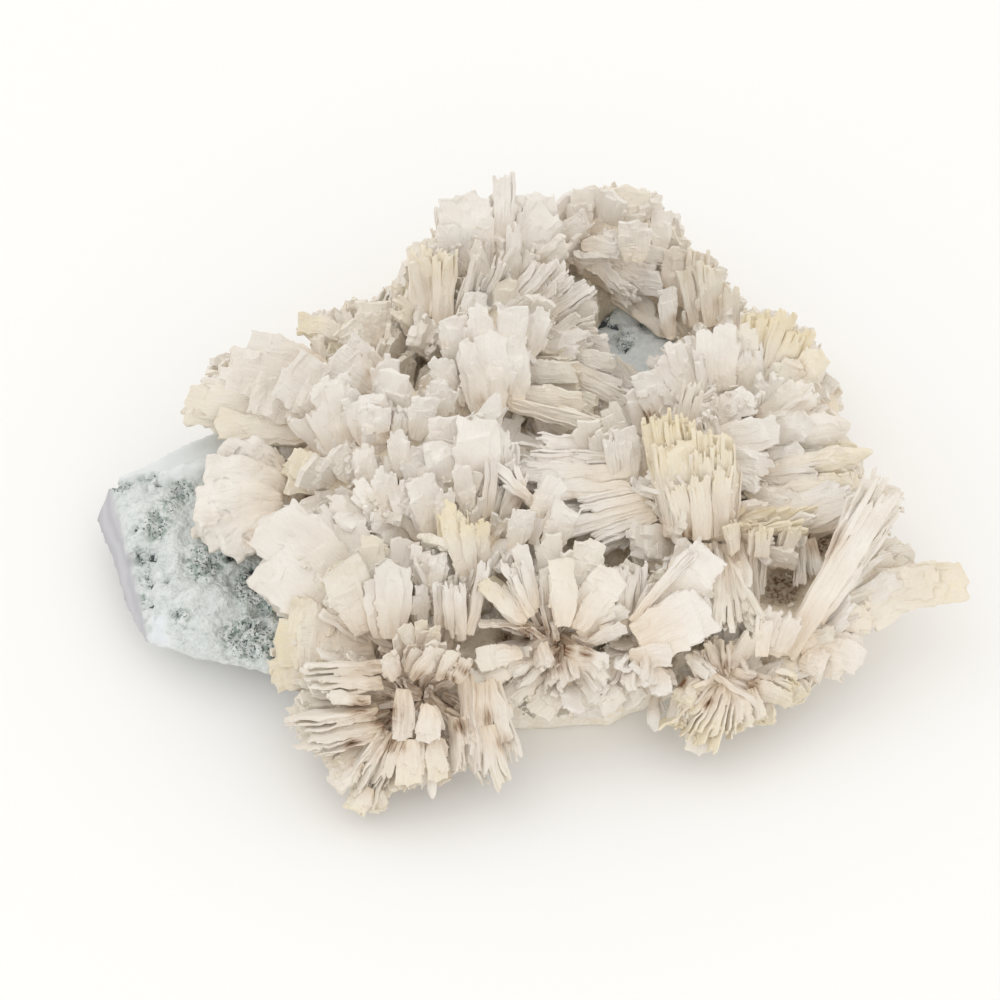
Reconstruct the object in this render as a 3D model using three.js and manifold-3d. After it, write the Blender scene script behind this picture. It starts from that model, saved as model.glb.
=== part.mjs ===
// Quartz after anhydrite on chalcedony: a broken plate of banded chalcedony, lying on its
// sawn-flat underside, carries one crust of bladed quartz sprays that run into each other,
// and one small outlying spray on its bare left end. Millimetres, +Z up.

import * as THREE from 'three';
import { mergeVertices } from 'three/addons/utils/BufferGeometryUtils.js';
import Module from 'manifold-3d';

const wasm = await Module();
wasm.setup();

// Driving dimensions.
const PLATE_HEIGHT = 16; // top of the plate above its flat base
const PLATE_BEVEL = 4; // height of the broken bevel around the rim, and of the foot below it
const TOP_LEVEL = PLATE_HEIGHT / PLATE_BEVEL; // the top, counted in bevel heights
const GAP = 0.3; // clearance between pieces that touch
const SKIN_DEEP = 1.4; // lumps and pits of the plate's skin past this are rounder
const LOWEST_TIP = 1.2; // no blade reaches lower than this over the base
const SHOW_TILT = 50; // the specimen is shown with its base turned up this many degrees
const BLADE_THICKNESS = 0.36; // of a blade's width
const THINNEST_BLADE = 2.2;
const ROOT_WIDTH = 0.42; // of a blade's width, where it leaves its spray's seat
const SHOULDER = 0.72; // how far along its length a blade is widest
const TIP_WIDTH = 0.62; // of a blade's width
const TIP_THICKNESS = 0.34; // of a blade's thickness
const MOUND_RADIUS = 10; // the drusy mound that each spray stands on
const MOUND_COVER = 3; // how far the mound rises past the seat that the blades leave
const BED_HEIGHT = 5; // the bed of small crystals between the mounds
const BROAD_BLADE = 9.5; // blades this wide have a shoulder, and narrower ones run straight

// Positions are given on the show face: across and up are measured square to the line of
// sight that is tilted SHOW_TILT over the base, and height is measured over the base.
const tiltSine = Math.sin(THREE.MathUtils.degToRad(SHOW_TILT));
const tiltCosine = Math.cos(THREE.MathUtils.degToRad(SHOW_TILT));
const TOWARD_SHOW = new THREE.Vector3(0, -tiltCosine, tiltSine);

function onShowFace(across, up, height) {
  return new THREE.Vector3(across, (up - height * tiltCosine) / tiltSine, height);
}

// One repeatable stream of numbers from 0 to 1, so that the crust is the same each time.
let seed = 4021;
function chance() {
  seed = (seed * 16807) % 2147483647;
  return seed / 2147483647;
}

function between(low, high) {
  return low + (high - low) * chance();
}

function solidOf(geometry) {
  const bare = geometry.clone().deleteAttribute('normal').deleteAttribute('uv');
  const merged = mergeVertices(bare, 1e-4);
  return new wasm.Manifold(new wasm.Mesh({
    numProp: 3,
    vertProperties: Float32Array.from(merged.attributes.position.array),
    triVerts: Uint32Array.from(merged.index.array),
  }));
}

function geometryOf(solid) {
  const mesh = solid.getMesh();
  const geometry = new THREE.BufferGeometry();
  geometry.setAttribute('position', new THREE.BufferAttribute(mesh.vertProperties, 3));
  geometry.setIndex(new THREE.BufferAttribute(mesh.triVerts, 1));
  geometry.computeVertexNormals();
  return geometry;
}

function joined(solids) {
  return solids.reduce((whole, piece) => whole.add(piece));
}

// Blades that cross can shut in small hollows or part off crumbs. Only the largest shell
// of a solid is kept, which fills the hollows and drops the crumbs.
function largestShell(solid) {
  const merged = mergeVertices(geometryOf(solid).deleteAttribute('normal'), 1e-3);
  const index = merged.index.array;
  const position = merged.attributes.position;
  const parent = Array.from({ length: position.count }, (_, i) => i);
  const rootOf = (vertex) => {
    let root = vertex;
    while (parent[root] !== root) {
      parent[root] = parent[parent[root]];
      root = parent[root];
    }
    return root;
  };
  for (let i = 0; i < index.length; i += 3) {
    parent[rootOf(index[i + 1])] = rootOf(index[i]);
    parent[rootOf(index[i + 2])] = rootOf(index[i]);
  }
  const corners = [new THREE.Vector3(), new THREE.Vector3(), new THREE.Vector3()];
  const volumes = new Map();
  for (let i = 0; i < index.length; i += 3) {
    corners.forEach((corner, k) => corner.fromBufferAttribute(position, index[i + k]));
    const volume = corners[0].dot(corners[1].cross(corners[2])) / 6;
    const shell = rootOf(index[i]);
    volumes.set(shell, (volumes.get(shell) ?? 0) + volume);
  }
  const [largest] = [...volumes.entries()].reduce((a, b) => (b[1] > a[1] ? b : a));
  const kept = [];
  for (let i = 0; i < index.length; i += 3) {
    if (rootOf(index[i]) === largest) {
      kept.push(index[i], index[i + 1], index[i + 2]);
    }
  }
  merged.setIndex(kept);
  return solidOf(merged);
}

// The plate's rim seen from above, counterclockwise from the left end: [x, y, bevel, undercut].
// The rim is highest under its bevel, and the flat base is set in by the undercut.
const PLATE_RIM = [
  [-91, -16, 6, 17], [-87, -27.5, 6, 17], [-84.5, -40, 6, 18], [-80, -52.5, 3, 20],
  [-68, -57.5, 1.5, 21], [-54, -61, 1.5, 19], [-30, -66, 2, 9], [0, -70, 2, 2],
  [26, -69, 2, 3], [45, -62, 2, 8], [66, -56, 3, 12], [82, -44, 3, 12], [87, -28, 3, 10],
  [84, -5, 3, 8], [78, 12, 3, 8], [67, 33, 3, 8], [46, 52, 3, 8], [23, 63, 3, 8],
  [-4, 65, 3, 8], [-22, 55, 3, 8], [-35, 40, 3, 8], [-50, 21, 2, 8], [-66, 9.5, 1.5, 8],
  [-78, 2, 1.5, 10], [-88, -6, 4, 14],
];
const PLATE_CENTRE = [-5, -8];

// A lump or a pit of the plate's skin: [x, y, radius, height over or under the skin].
const SKIN_LUMPS = [
  [-77, -20, 7, 1.5], [-69, -43, 8, 1.8], [-74, -33, 6, 1.3], [-61, -30, 7, 1.5],
  [-72, -8, 5, 1.4], [31, 36, 6, 1.2],
];
const SKIN_PITS = [
  [-80, -28, 2.6, 1.6], [-58, -37, 3.4, 1.7], [-60, -52, 3.2, 1.6], [-54, -46, 2.8, 1.6],
  [-78, -10, 2.2, 1.4], [25, 37, 3.0, 1.8],
];

function plateSolid(growth) {
  const outline = new THREE.Shape(PLATE_RIM.map(([x, y]) => new THREE.Vector2(x, y)));
  const geometry = new THREE.ExtrudeGeometry(outline, {
    depth: PLATE_HEIGHT - 2 * PLATE_BEVEL,
    bevelThickness: PLATE_BEVEL,
    bevelSize: 0,
    bevelSegments: 1,
    curveSegments: 1,
  });
  geometry.translate(0, 0, PLATE_BEVEL);
  const position = geometry.attributes.position;
  const centre = new THREE.Vector2(...PLATE_CENTRE);
  for (let i = 0; i < position.count; i += 1) {
    const point = new THREE.Vector2(position.getX(i), position.getY(i));
    const apart = ([x, y]) => Math.hypot(x - point.x, y - point.y);
    const [, , bevel, undercut] = PLATE_RIM.find((row) => apart(row) < 0.01);
    const level = Math.round(position.getZ(i) / PLATE_BEVEL);
    const inset = { 0: undercut, 1: undercut / 2 }[level] ?? (level === TOP_LEVEL ? bevel : 0);
    point.addScaledVector(centre.clone().sub(point).normalize(), inset - growth * 1.3);
    position.setXYZ(i, point.x, point.y, position.getZ(i) + (level === 0 ? -growth : growth));
  }
  return solidOf(geometry);
}

function skinSpot(x, y, radius, height) {
  const geometry = new THREE.IcosahedronGeometry(1, height > SKIN_DEEP ? 1 : 0);
  geometry.rotateZ(x + y);
  geometry.scale(radius, radius * 0.8, height);
  geometry.translate(x, y, PLATE_HEIGHT);
  return solidOf(geometry);
}

function matrixSolid(growth) {
  let solid = plateSolid(growth);
  for (const [x, y, radius, height] of SKIN_LUMPS) {
    solid = solid.add(skinSpot(x, y, radius + growth, height + growth));
  }
  for (const [x, y, radius, height] of SKIN_PITS) {
    solid = solid.subtract(skinSpot(x, y, radius - growth, height - growth));
  }
  return solid;
}

// The bed of small crystals that covers the plate and joins the sprays, seen from above, and
// the window in it where the plate's skin shows.
const BED_OUTLINE = [
  [-47, -60], [-30, -64], [0, -68], [26, -68], [45, -61], [64, -55], [80, -44], [86, -28],
  [82, -5], [76, 11], [66, 33], [44, 52], [22, 63], [-4, 65], [-20, 54], [-33, 38],
  [-46, 19], [-41, 0], [-42, -20], [-49, -40],
];
const BED_WINDOW = [[25, 45], [22, 37], [27, 29], [25, 20], [34, 17], [37, 27], [41, 34], [34, 43]];

function bedSolid() {
  const points = (outline) => outline.map(([x, y]) => new THREE.Vector2(x, y));
  const outline = new THREE.Shape(points(BED_OUTLINE));
  outline.holes.push(new THREE.Path(points(BED_WINDOW).reverse()));
  const geometry = new THREE.ExtrudeGeometry(outline, {
    depth: BED_HEIGHT,
    bevelThickness: BED_HEIGHT / 2,
    bevelSize: BED_HEIGHT / 3,
    bevelSegments: 1,
    curveSegments: 1,
  });
  geometry.translate(0, 0, PLATE_HEIGHT - BED_HEIGHT / 2);
  return solidOf(geometry);
}

// Small crowded clusters on the bed between the sprays: [x, y, radius, height over the plate].
const HUMMOCKS = [
  [8, 42, 11, 11], [48, 27, 10, 10], [66, 14, 9, 10], [15, 6, 10, 7], [70, -12, 9, 9],
  [-12, 50, 9, 9],
];

function hummockSolid([x, y, radius, height]) {
  return moundSolid(new THREE.Vector3(x, y, PLATE_HEIGHT + height - MOUND_COVER), radius);
}

// One blade: a flat tapered prism from its root to its tip. Turn 0 lays its broad face
// square to the show direction, and turn 90 sets it on edge.
function bladeSolid(root, tip, width, turn) {
  const axis = tip.clone().sub(root);
  const length = axis.length();
  axis.normalize();
  const across = new THREE.Vector3().crossVectors(axis, TOWARD_SHOW).normalize();
  across.applyAxisAngle(axis, THREE.MathUtils.degToRad(turn));
  const facing = new THREE.Vector3().crossVectors(across, axis);
  const thickness = Math.max(width * BLADE_THICKNESS, THINNEST_BLADE);
  const slant = between(-0.16, 0.16) * width;
  const geometry = new THREE.BoxGeometry(1, 1, 1, 1, 1, width > BROAD_BLADE ? 2 : 1);
  geometry.translate(0, 0, 0.5);
  const position = geometry.attributes.position;
  for (let i = 0; i < position.count; i += 1) {
    const station = position.getZ(i);
    let x = position.getX(i) * width;
    let y = position.getY(i) * thickness;
    let z = station * length;
    if (station < 0.25) {
      x *= ROOT_WIDTH;
    } else if (station < 0.75) {
      z = SHOULDER * length;
    } else {
      x *= TIP_WIDTH;
      y *= TIP_THICKNESS;
      z += Math.sign(x) * slant;
    }
    position.setXYZ(i, x, y, z);
  }
  const placed = new THREE.Matrix4().makeBasis(across, facing, axis).setPosition(root);
  if (placed.determinant() < 0) {
    placed.makeBasis(across, facing.negate(), axis).setPosition(root);
  }
  geometry.applyMatrix4(placed);
  return solidOf(geometry);
}

// The rough mound under a spray, from the plate up to the seat that its blades leave.
function moundSolid(seat, radius) {
  const faceted = new THREE.IcosahedronGeometry(1, 0);
  const geometry = mergeVertices(faceted.deleteAttribute('normal').deleteAttribute('uv'), 1e-4);
  const position = geometry.attributes.position;
  const rise = seat.z - PLATE_HEIGHT + MOUND_COVER;
  for (let i = 0; i < position.count; i += 1) {
    const swell = 0.98 + 0.12 * Math.sin(7 * i + seat.x);
    position.setXYZ(
      i,
      seat.x + position.getX(i) * radius * swell,
      seat.y + position.getY(i) * radius * swell,
      PLATE_HEIGHT + position.getZ(i) * rise * swell,
    );
  }
  return solidOf(geometry);
}

// A fan spreads its blades evenly between two tips; one tip alone is a single blade.
function fanBlades(seat, fan) {
  const blades = [];
  const [fromAcross, fromUp] = fan.from;
  const [toAcross, toUp] = fan.to ?? fan.from;
  const count = fan.count ?? 1;
  for (let i = 0; i < count; i += 1) {
    const share = count === 1 ? 0 : i / (count - 1);
    const height = Math.max(fan.height + between(-2, 2), LOWEST_TIP + 1);
    const tip = onShowFace(
      fromAcross + (toAcross - fromAcross) * share + between(-0.8, 0.8),
      fromUp + (toUp - fromUp) * share + between(-0.8, 0.8),
      height,
    );
    blades.push(bladeSolid(seat, tip, fan.width * between(0.88, 1.12), fan.turn + between(-12, 12)));
  }
  return blades;
}

// The sprays, by where they sit on the plate. Tips and seats are [across, up] and height.
const SPRAYS = [
  { // front rosette, thin blades all round, leaning out over the plate's front edge
    seat: [-19, -45, 17],
    moundRadius: 8,
    fans: [
      { from: [-46, -37], to: [-47, -46], height: 19, width: 6, turn: 60, count: 3 },
      { from: [-48, -50], to: [-43, -57], height: 14, width: 7, turn: 50, count: 3 },
      { from: [-40, -61], to: [-39, -65], height: 9, width: 7, turn: 60, count: 2 },
      { from: [-34, -69], to: [-29, -71], height: 5, width: 7, turn: 60, count: 2 },
      { from: [-24, -65], to: [-19, -66], height: 8, width: 7, turn: 20, count: 2 },
      { from: [-13, -65], height: 9, width: 7, turn: 30 },
      { from: [-8, -61], to: [-4, -62], height: 9, width: 6, turn: 65, count: 2 },
      { from: [0, -65], to: [4, -60], height: 9, width: 7, turn: 60, count: 2 },
      { from: [-23, -30], to: [-13, -30], height: 33, width: 6, turn: 20, count: 3 },
      { from: [-41, -35], to: [-31, -34], height: 27, width: 6, turn: 60, count: 2 },
      { from: [-21, -54], to: [-16, -54], height: 17, width: 5, turn: 0, count: 2 },
    ],
  },
  { // broad fan that stands behind the front rosette and spreads to the left
    seat: [-25, -34, 20],
    fans: [
      { from: [-53, -4], to: [-54, -14], height: 26, width: 12, turn: 0, count: 2 },
      { from: [-49, -21], to: [-51, -39], height: 20, width: 12, turn: 8, count: 3 },
      { from: [-46, -4], to: [-35, -4], height: 37, width: 9, turn: 15, count: 2 },
      { from: [-37, -15], height: 38, width: 10, turn: 0 },
      { from: [-31, -11], to: [-23, -9], height: 41, width: 8, turn: 10, count: 2 },
    ],
  },
  { // jumbled blocks and slats right of that fan, with yellow plates over them
    seat: [-11, -33, 20],
    fans: [
      { from: [-19, -10], to: [-12, -10], height: 39, width: 6, turn: 70, count: 3 },
      { from: [-9, -16], to: [-5, -15], height: 36, width: 5, turn: 70, count: 2 },
      { from: [-12, -2], to: [-3, -4], height: 43, width: 7, turn: 50, count: 3 },
      { from: [0, -11], height: 37, width: 5, turn: 60 },
    ],
  },
  { // star in the middle of the front
    seat: [14, -32, 21],
    fans: [
      { from: [1, -12], to: [8, -10], height: 38, width: 6, turn: 55, count: 2 },
      { from: [-4, -18], height: 33, width: 6, turn: 10 },
      { from: [14, -17], height: 37, width: 8, turn: 0 },
      { from: [12, -8], to: [21, -10], height: 41, width: 8, turn: 15, count: 2 },
      { from: [25, -19], to: [32, -15], height: 35, width: 9, turn: 10, count: 2 },
      { from: [29, -28], height: 29, width: 8, turn: 30 },
      { from: [23, -42], to: [11, -43], height: 22, width: 7, turn: 30, count: 3 },
      { from: [3, -43], to: [-6, -35], height: 23, width: 7, turn: 40, count: 3 },
    ],
  },
  { // big white petals in the middle
    seat: [-6, -8, 24],
    fans: [
      { from: [-16, 13], to: [-12, 15], height: 46, width: 8, turn: 0, count: 2 },
      { from: [-8, 17], to: [-2, 17], height: 50, width: 9, turn: 5, count: 2 },
      { from: [3, 13], height: 46, width: 5, turn: 65 },
      { from: [-21, 4], height: 42, width: 8, turn: 20 },
      { from: [8, 1], height: 40, width: 7, turn: 50 },
    ],
  },
  { // jumble left of the middle
    seat: [-24, 3, 26],
    fans: [
      { from: [-50, 9], to: [-49, 4], height: 31, width: 6, turn: 20, count: 2 },
      { from: [-45, -3], height: 31, width: 7, turn: 20 },
      { from: [-43, 14], to: [-35, 15], height: 37, width: 9, turn: 20, count: 2 },
      { from: [-29, 16], to: [-20, 18], height: 43, width: 7, turn: 30, count: 2 },
      { from: [-37, -8], to: [-27, -6], height: 37, width: 8, turn: 20, count: 2 },
    ],
  },
  { // blocky mass at the left, over the bare end of the plate
    seat: [-25, 24, 26],
    fans: [
      { from: [-66, 32], to: [-67, 27], height: 27, width: 9, turn: 20, count: 2 },
      { from: [-55, 33], to: [-46, 34], height: 30, width: 9, turn: 30, count: 2 },
      { from: [-72, 22], to: [-69, 18], height: 23, width: 8, turn: 30, count: 2 },
      { from: [-63, 16], to: [-56, 15], height: 21, width: 8, turn: 40, count: 2 },
      { from: [-51, 27], to: [-47, 21], height: 33, width: 9, turn: 15, count: 2 },
      { from: [-41, 28], to: [-37, 17], height: 36, width: 9, turn: 15, count: 2 },
    ],
  },
  { // yellow-tipped spray above it
    seat: [-20, 35, 22],
    fans: [
      { from: [-46, 40], height: 26, width: 7, turn: 10 },
      { from: [-36, 42], to: [-27, 46], height: 33, width: 8, turn: 20, count: 2 },
      { from: [-33, 36], height: 36, width: 8, turn: 10 },
      { from: [-40, 36], to: [-31, 44], height: 20, width: 8, turn: 20, count: 2 },
    ],
  },
  { // tall spray at the back
    seat: [-10, 32, 22],
    fans: [
      { from: [-20, 58], to: [-14, 57], height: 45, width: 8, turn: 50, count: 2 },
      { from: [-25, 49], height: 39, width: 7, turn: 40 },
      { from: [-11, 67], to: [-4, 69], height: 48, width: 11, turn: 0, count: 2 },
      { from: [0, 74], to: [4, 74], height: 51, width: 6, turn: 60, count: 2 },
      { from: [9, 69], height: 46, width: 11, turn: 10 },
      { from: [3, 22], to: [-6, 19], height: 33, width: 8, turn: 20, count: 2 },
      { from: [-5, 57], to: [3, 58], height: 53, width: 5, turn: 70, count: 2 },
      { from: [10, 48], to: [15, 53], height: 41, width: 7, turn: 20, count: 2 },
      { from: [22, 45], height: 35, width: 7, turn: 20 },
      { from: [20, 33], to: [19, 28], height: 33, width: 8, turn: 20, count: 2 },
      { from: [25, 17], to: [22, 22], height: 31, width: 8, turn: 10, count: 2 },
      { from: [7, 37], height: 42, width: 11, turn: 0 },
      { from: [-15, 58], to: [6, 64], height: 24, width: 9, turn: 30, count: 3 },
    ],
  },
  { // spray at the back right
    seat: [20, 54, 22],
    fans: [
      { from: [17, 71], height: 40, width: 8, turn: 20 },
      { from: [25, 71], to: [34, 71], height: 40, width: 10, turn: 10, count: 2 },
      { from: [39, 67], to: [40, 61], height: 34, width: 8, turn: 30, count: 2 },
      { from: [38, 54], to: [37, 49], height: 30, width: 7, turn: 20, count: 2 },
      { from: [31, 47], height: 27, width: 5, turn: 50 },
      { from: [31, 61], height: 43, width: 8, turn: 0 },
      { from: [18, 65], to: [34, 62], height: 21, width: 8, turn: 30, count: 2 },
    ],
  },
  { // one rod lying across the bare window of the plate
    seat: [29, 48, 19],
    moundRadius: 8,
    fans: [{ from: [41, 37], height: 20, width: 5, turn: 20 }],
  },
  { // tan drusy cluster at the right shoulder
    seat: [43, 48, 18],
    fans: [
      { from: [44, 56], to: [50, 55], height: 27, width: 6, turn: 60, count: 2 },
      { from: [52, 51], to: [55, 47], height: 25, width: 6, turn: 60, count: 2 },
      { from: [54, 43], to: [49, 41], height: 25, width: 6, turn: 60, count: 2 },
    ],
  },
  { // great spray at the right, with three fingers over the edge
    seat: [55, 14, 24],
    fans: [
      { from: [34, 33], to: [41, 39], height: 38, width: 8, turn: 10, count: 2 },
      { from: [46, 39], to: [54, 41], height: 43, width: 8, turn: 10, count: 2 },
      { from: [58, 43], to: [65, 43], height: 43, width: 6, turn: 45, count: 3 },
      { from: [71, 38], to: [74, 30], height: 36, width: 9, turn: 30, count: 2 },
      { from: [73, 23], height: 33, width: 8, turn: 20 },
      { from: [80, 17], height: 31, width: 8, turn: 15 },
      { from: [85, 11], height: 29, width: 7, turn: 10 },
      { from: [82, 3], to: [80, -4], height: 27, width: 8, turn: 10, count: 2 },
      { from: [64, -1], to: [56, 1], height: 28, width: 8, turn: 20, count: 2 },
      { from: [49, 22], to: [60, 24], height: 45, width: 5, turn: 60, count: 3 },
      { from: [33, 27], to: [35, 19], height: 32, width: 8, turn: 20, count: 2 },
      { from: [66, 36], to: [76, 20], height: 20, width: 8, turn: 30, count: 2 },
    ],
  },
  { // fluted yellow column right of the middle, with a curtain of plates under it
    seat: [49, -8, 28],
    fans: [
      { from: [34, 18], to: [49, 16], height: 47, width: 7, turn: 60, count: 4 },
      { from: [58, -3], to: [68, -4], height: 34, width: 6, turn: 55, count: 3 },
      { from: [46, -31], to: [60, -30], height: 28, width: 7, turn: 40, count: 4 },
      { from: [71, -8], to: [70, -20], height: 27, width: 7, turn: 40, count: 2 },
    ],
  },
  { // long flat slats that run to the left from beside the column
    seat: [35, 0, 25],
    fans: [
      { from: [4, 12], to: [4, 6], height: 33, width: 7, turn: 50, count: 2 },
      { from: [10, 1], to: [10, -7], height: 33, width: 8, turn: 30, count: 2 },
      { from: [27, 14], height: 38, width: 8, turn: 20 },
    ],
  },
  { // wide plates between the star and the column's curtain
    seat: [34, -32, 21],
    fans: [
      { from: [41, -21], to: [49, -25], height: 31, width: 9, turn: 5, count: 2 },
      { from: [44, -9], height: 38, width: 6, turn: 20 },
      { from: [31, -43], height: 23, width: 8, turn: 30 },
    ],
  },
  { // long diagonal blade and the plates that reach farthest right
    seat: [66, -33, 18],
    moundRadius: 8,
    fans: [
      { from: [89, 1], height: 36, width: 10, turn: 10 },
      { from: [104, -18], height: 22, width: 10, turn: 15 },
      { from: [93, -12], height: 24, width: 7, turn: 25 },
      { from: [95, -24], height: 17, width: 7, turn: 15 },
      { from: [84, -37], to: [75, -41], height: 15, width: 9, turn: 10, count: 2 },
    ],
  },
  { // fine yellow spray at the lower right
    seat: [52, -40, 17],
    moundRadius: 8,
    fans: [
      { from: [36, -51], to: [45, -57], height: 10, width: 7, turn: 55, count: 3 },
      { from: [53, -53], to: [62, -50], height: 12, width: 7, turn: 55, count: 2 },
      { from: [69, -46], height: 15, width: 7, turn: 50 },
      { from: [47, -33], to: [59, -31], height: 26, width: 6, turn: 40, count: 2 },
    ],
  },
];

const OUTLYING_SPRAY = { // small bun of blades on the bare left end
  seat: [-52, 1, 20],
  moundRadius: 9,
  fans: [
    { from: [-68, 8], to: [-71, -2], height: 24, width: 8, turn: 20, count: 3 },
    { from: [-72, -6], to: [-70, -11], height: 20, width: 8, turn: 20, count: 2 },
    { from: [-63, -11], height: 21, width: 8, turn: 20 },
    { from: [-60, 10], height: 27, width: 7, turn: 20 },
    { from: [-62, 3], to: [-60, -4], height: 30, width: 8, turn: 10, count: 2 },
  ],
};

function spraySolid(spray) {
  const seat = onShowFace(...spray.seat);
  const blades = spray.fans.flatMap((fan) => fanBlades(seat, fan));
  return joined([moundSolid(seat, spray.moundRadius ?? MOUND_RADIUS), ...blades]);
}

// A slab under the base that trims whatever would reach down past it.
function groundSolid() {
  const geometry = new THREE.BoxGeometry(400, 400, 20);
  geometry.translate(0, 0, LOWEST_TIP - 10);
  return solidOf(geometry);
}

function named(name, solid, colour, roughness) {
  const material = new THREE.MeshStandardMaterial({ color: colour, roughness, metalness: 0 });
  const mesh = new THREE.Mesh(geometryOf(solid), material);
  mesh.name = name;
  return mesh;
}

const matrix = matrixSolid(0);
const clearOfMatrix = matrixSolid(GAP);
const ground = groundSolid();
const grown = joined([bedSolid(), ...HUMMOCKS.map(hummockSolid), ...SPRAYS.map(spraySolid)]);
const crust = largestShell(grown.subtract(clearOfMatrix).subtract(ground));
const besideCrust = spraySolid(OUTLYING_SPRAY).subtract(crust.translate(-GAP, 0, 0));
const outlying = largestShell(besideCrust.subtract(clearOfMatrix));

const group = new THREE.Group();
group.add(named('chalcedony_matrix', matrix, 0xc9d3cf, 0.55));
group.add(named('quartz_blade_crust', crust, 0xe4ddd0, 0.8));
group.add(named('outlying_blade_spray', outlying, 0xddd0c6, 0.8));

export default group;
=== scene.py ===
import math
import random

import bmesh
import bpy
import numpy as np
from mathutils import Matrix, Vector, noise
from mathutils.bvhtree import BVHTree


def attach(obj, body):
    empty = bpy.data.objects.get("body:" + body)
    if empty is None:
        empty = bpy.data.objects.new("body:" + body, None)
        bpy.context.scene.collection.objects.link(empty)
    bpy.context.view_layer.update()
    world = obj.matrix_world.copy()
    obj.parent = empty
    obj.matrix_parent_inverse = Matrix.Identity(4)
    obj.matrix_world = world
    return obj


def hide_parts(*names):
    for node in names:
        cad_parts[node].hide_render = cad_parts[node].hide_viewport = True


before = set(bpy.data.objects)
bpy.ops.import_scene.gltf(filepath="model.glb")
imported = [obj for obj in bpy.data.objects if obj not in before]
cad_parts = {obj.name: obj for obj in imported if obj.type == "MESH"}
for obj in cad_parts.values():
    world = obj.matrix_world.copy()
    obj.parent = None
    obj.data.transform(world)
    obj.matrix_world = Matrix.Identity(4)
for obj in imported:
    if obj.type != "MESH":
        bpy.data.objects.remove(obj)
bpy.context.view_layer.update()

# ---------------------------------------------------------------------------------------
# The studio. The specimen lies on its flat base on a pale table, under a large soft light
# from the upper left, and is seen from 50 degrees above the table.
# ---------------------------------------------------------------------------------------
MM = 0.001
SHOW_TILT = math.radians(50)
CAMERA_FAR = 2.0
VIEW_WIDTH = 0.23  # what the picture takes in across, at the middle of the base
SENSOR = 36.0  # mm
TABLE_REACH = 3  # m each way
ROOM_LIGHT = 1.18
LIT_PLACE = (0, 0, 0.02)
PRINT_GAMMA = 1.2  # above 1 keeps the hollows between the blades open
PRINT_EXPOSURE = -0.13
toward_camera = Vector((0, -math.cos(SHOW_TILT), math.sin(SHOW_TILT)))
up_the_view = Vector((0, math.sin(SHOW_TILT), math.cos(SHOW_TILT)))


def aimed(at, target):
    """The turn that points a camera or light at a target."""
    return (Vector(target) - Vector(at)).to_track_quat("-Z", "Y").to_euler()


def linked(name, data):
    """A new object in the scene that shows a mesh, a light or a camera."""
    made = bpy.data.objects.new(name, data)
    bpy.context.scene.collection.objects.link(made)
    return made


def mesh_from(name, form):
    """The mesh of a finished bmesh."""
    mesh = bpy.data.meshes.new(name)
    form.to_mesh(mesh)
    form.free()
    return mesh


camera_data = bpy.data.cameras.new("show_camera")
camera_data.sensor_width = SENSOR
camera_data.lens = SENSOR * CAMERA_FAR / VIEW_WIDTH
camera_data.clip_end = 20
camera = linked("show_camera", camera_data)
camera.location = toward_camera * CAMERA_FAR
camera.rotation_euler = aimed(camera.location, (0, 0, 0))
bpy.context.scene.camera = camera
bpy.context.scene.view_settings.view_transform = "Standard"
bpy.context.scene.view_settings.gamma = PRINT_GAMMA
bpy.context.scene.view_settings.exposure = PRINT_EXPOSURE


def linear(hex_colour):
    """An sRGB hex colour as linear RGBA."""
    parts = [int(hex_colour[i:i + 2], 16) / 255 for i in (1, 3, 5)]
    return tuple(c / 12.92 if c <= 0.04045 else ((c + 0.055) / 1.055) ** 2.4 for c in parts) + (1.0,)


def add(tree, kind, links=(), **settings):
    """Adds a node with its settings; links pairs an input with a value or another node's output."""
    made = tree.nodes.new(kind)
    for name, value in settings.items():
        setattr(made, name, value)
    for socket, value in links:
        if isinstance(value, bpy.types.NodeSocket):
            tree.links.new(value, made.inputs[socket])
        else:
            made.inputs[socket].default_value = value
    return made


def bare_material(name, roughness):
    """A new material with only its shader and output, and the tree they are in."""
    material = bpy.data.materials.new(name)
    material.use_nodes = True
    tree = material.node_tree
    tree.nodes.clear()
    shader = add(tree, "ShaderNodeBsdfPrincipled", [("Roughness", roughness)])
    add(tree, "ShaderNodeOutputMaterial", [("Surface", shader.outputs[0])])
    return material, tree, shader


floor_form = bmesh.new()
bmesh.ops.create_grid(floor_form, x_segments=1, y_segments=1, size=TABLE_REACH)
floor_mesh = mesh_from("pale_table", floor_form)
floor = linked("pale_table", floor_mesh)
table_paint, _, table_shader = bare_material("matt_white_table", 0.9)
table_shader.inputs["Base Color"].default_value = linear("#F4F3F1")
table_shader.inputs["Specular IOR Level"].default_value = 0.1
floor_mesh.materials.append(table_paint)

world = bpy.data.worlds.new("soft_room")
world.use_nodes = True
world.node_tree.nodes["Background"].inputs[0].default_value = linear("#FBFAF8")
world.node_tree.nodes["Background"].inputs[1].default_value = ROOM_LIGHT
bpy.context.scene.world = world

for name, at, size, watts in [
    ("key_softbox", (-0.65, 0.15, 1.25), 1.2, 1.7),
    ("front_softbox", (0.55, -1.1, 1.1), 1.4, 1.6),
]:
    light_data = bpy.data.lights.new(name, "AREA")
    light_data.size = size
    light_data.energy = watts
    light = linked(name, light_data)
    light.location = at
    light.rotation_euler = aimed(at, LIT_PLACE)


def spot(across, up, height):
    """The point at a height over the base that shows at a place across and up the view, in mm."""
    shown = Vector((across, 0, 0)) * MM + up_the_view * (up * MM)
    eye = toward_camera * CAMERA_FAR
    share = (height * MM - eye.z) / (shown.z - eye.z)
    return eye + (shown - eye) * share


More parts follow.
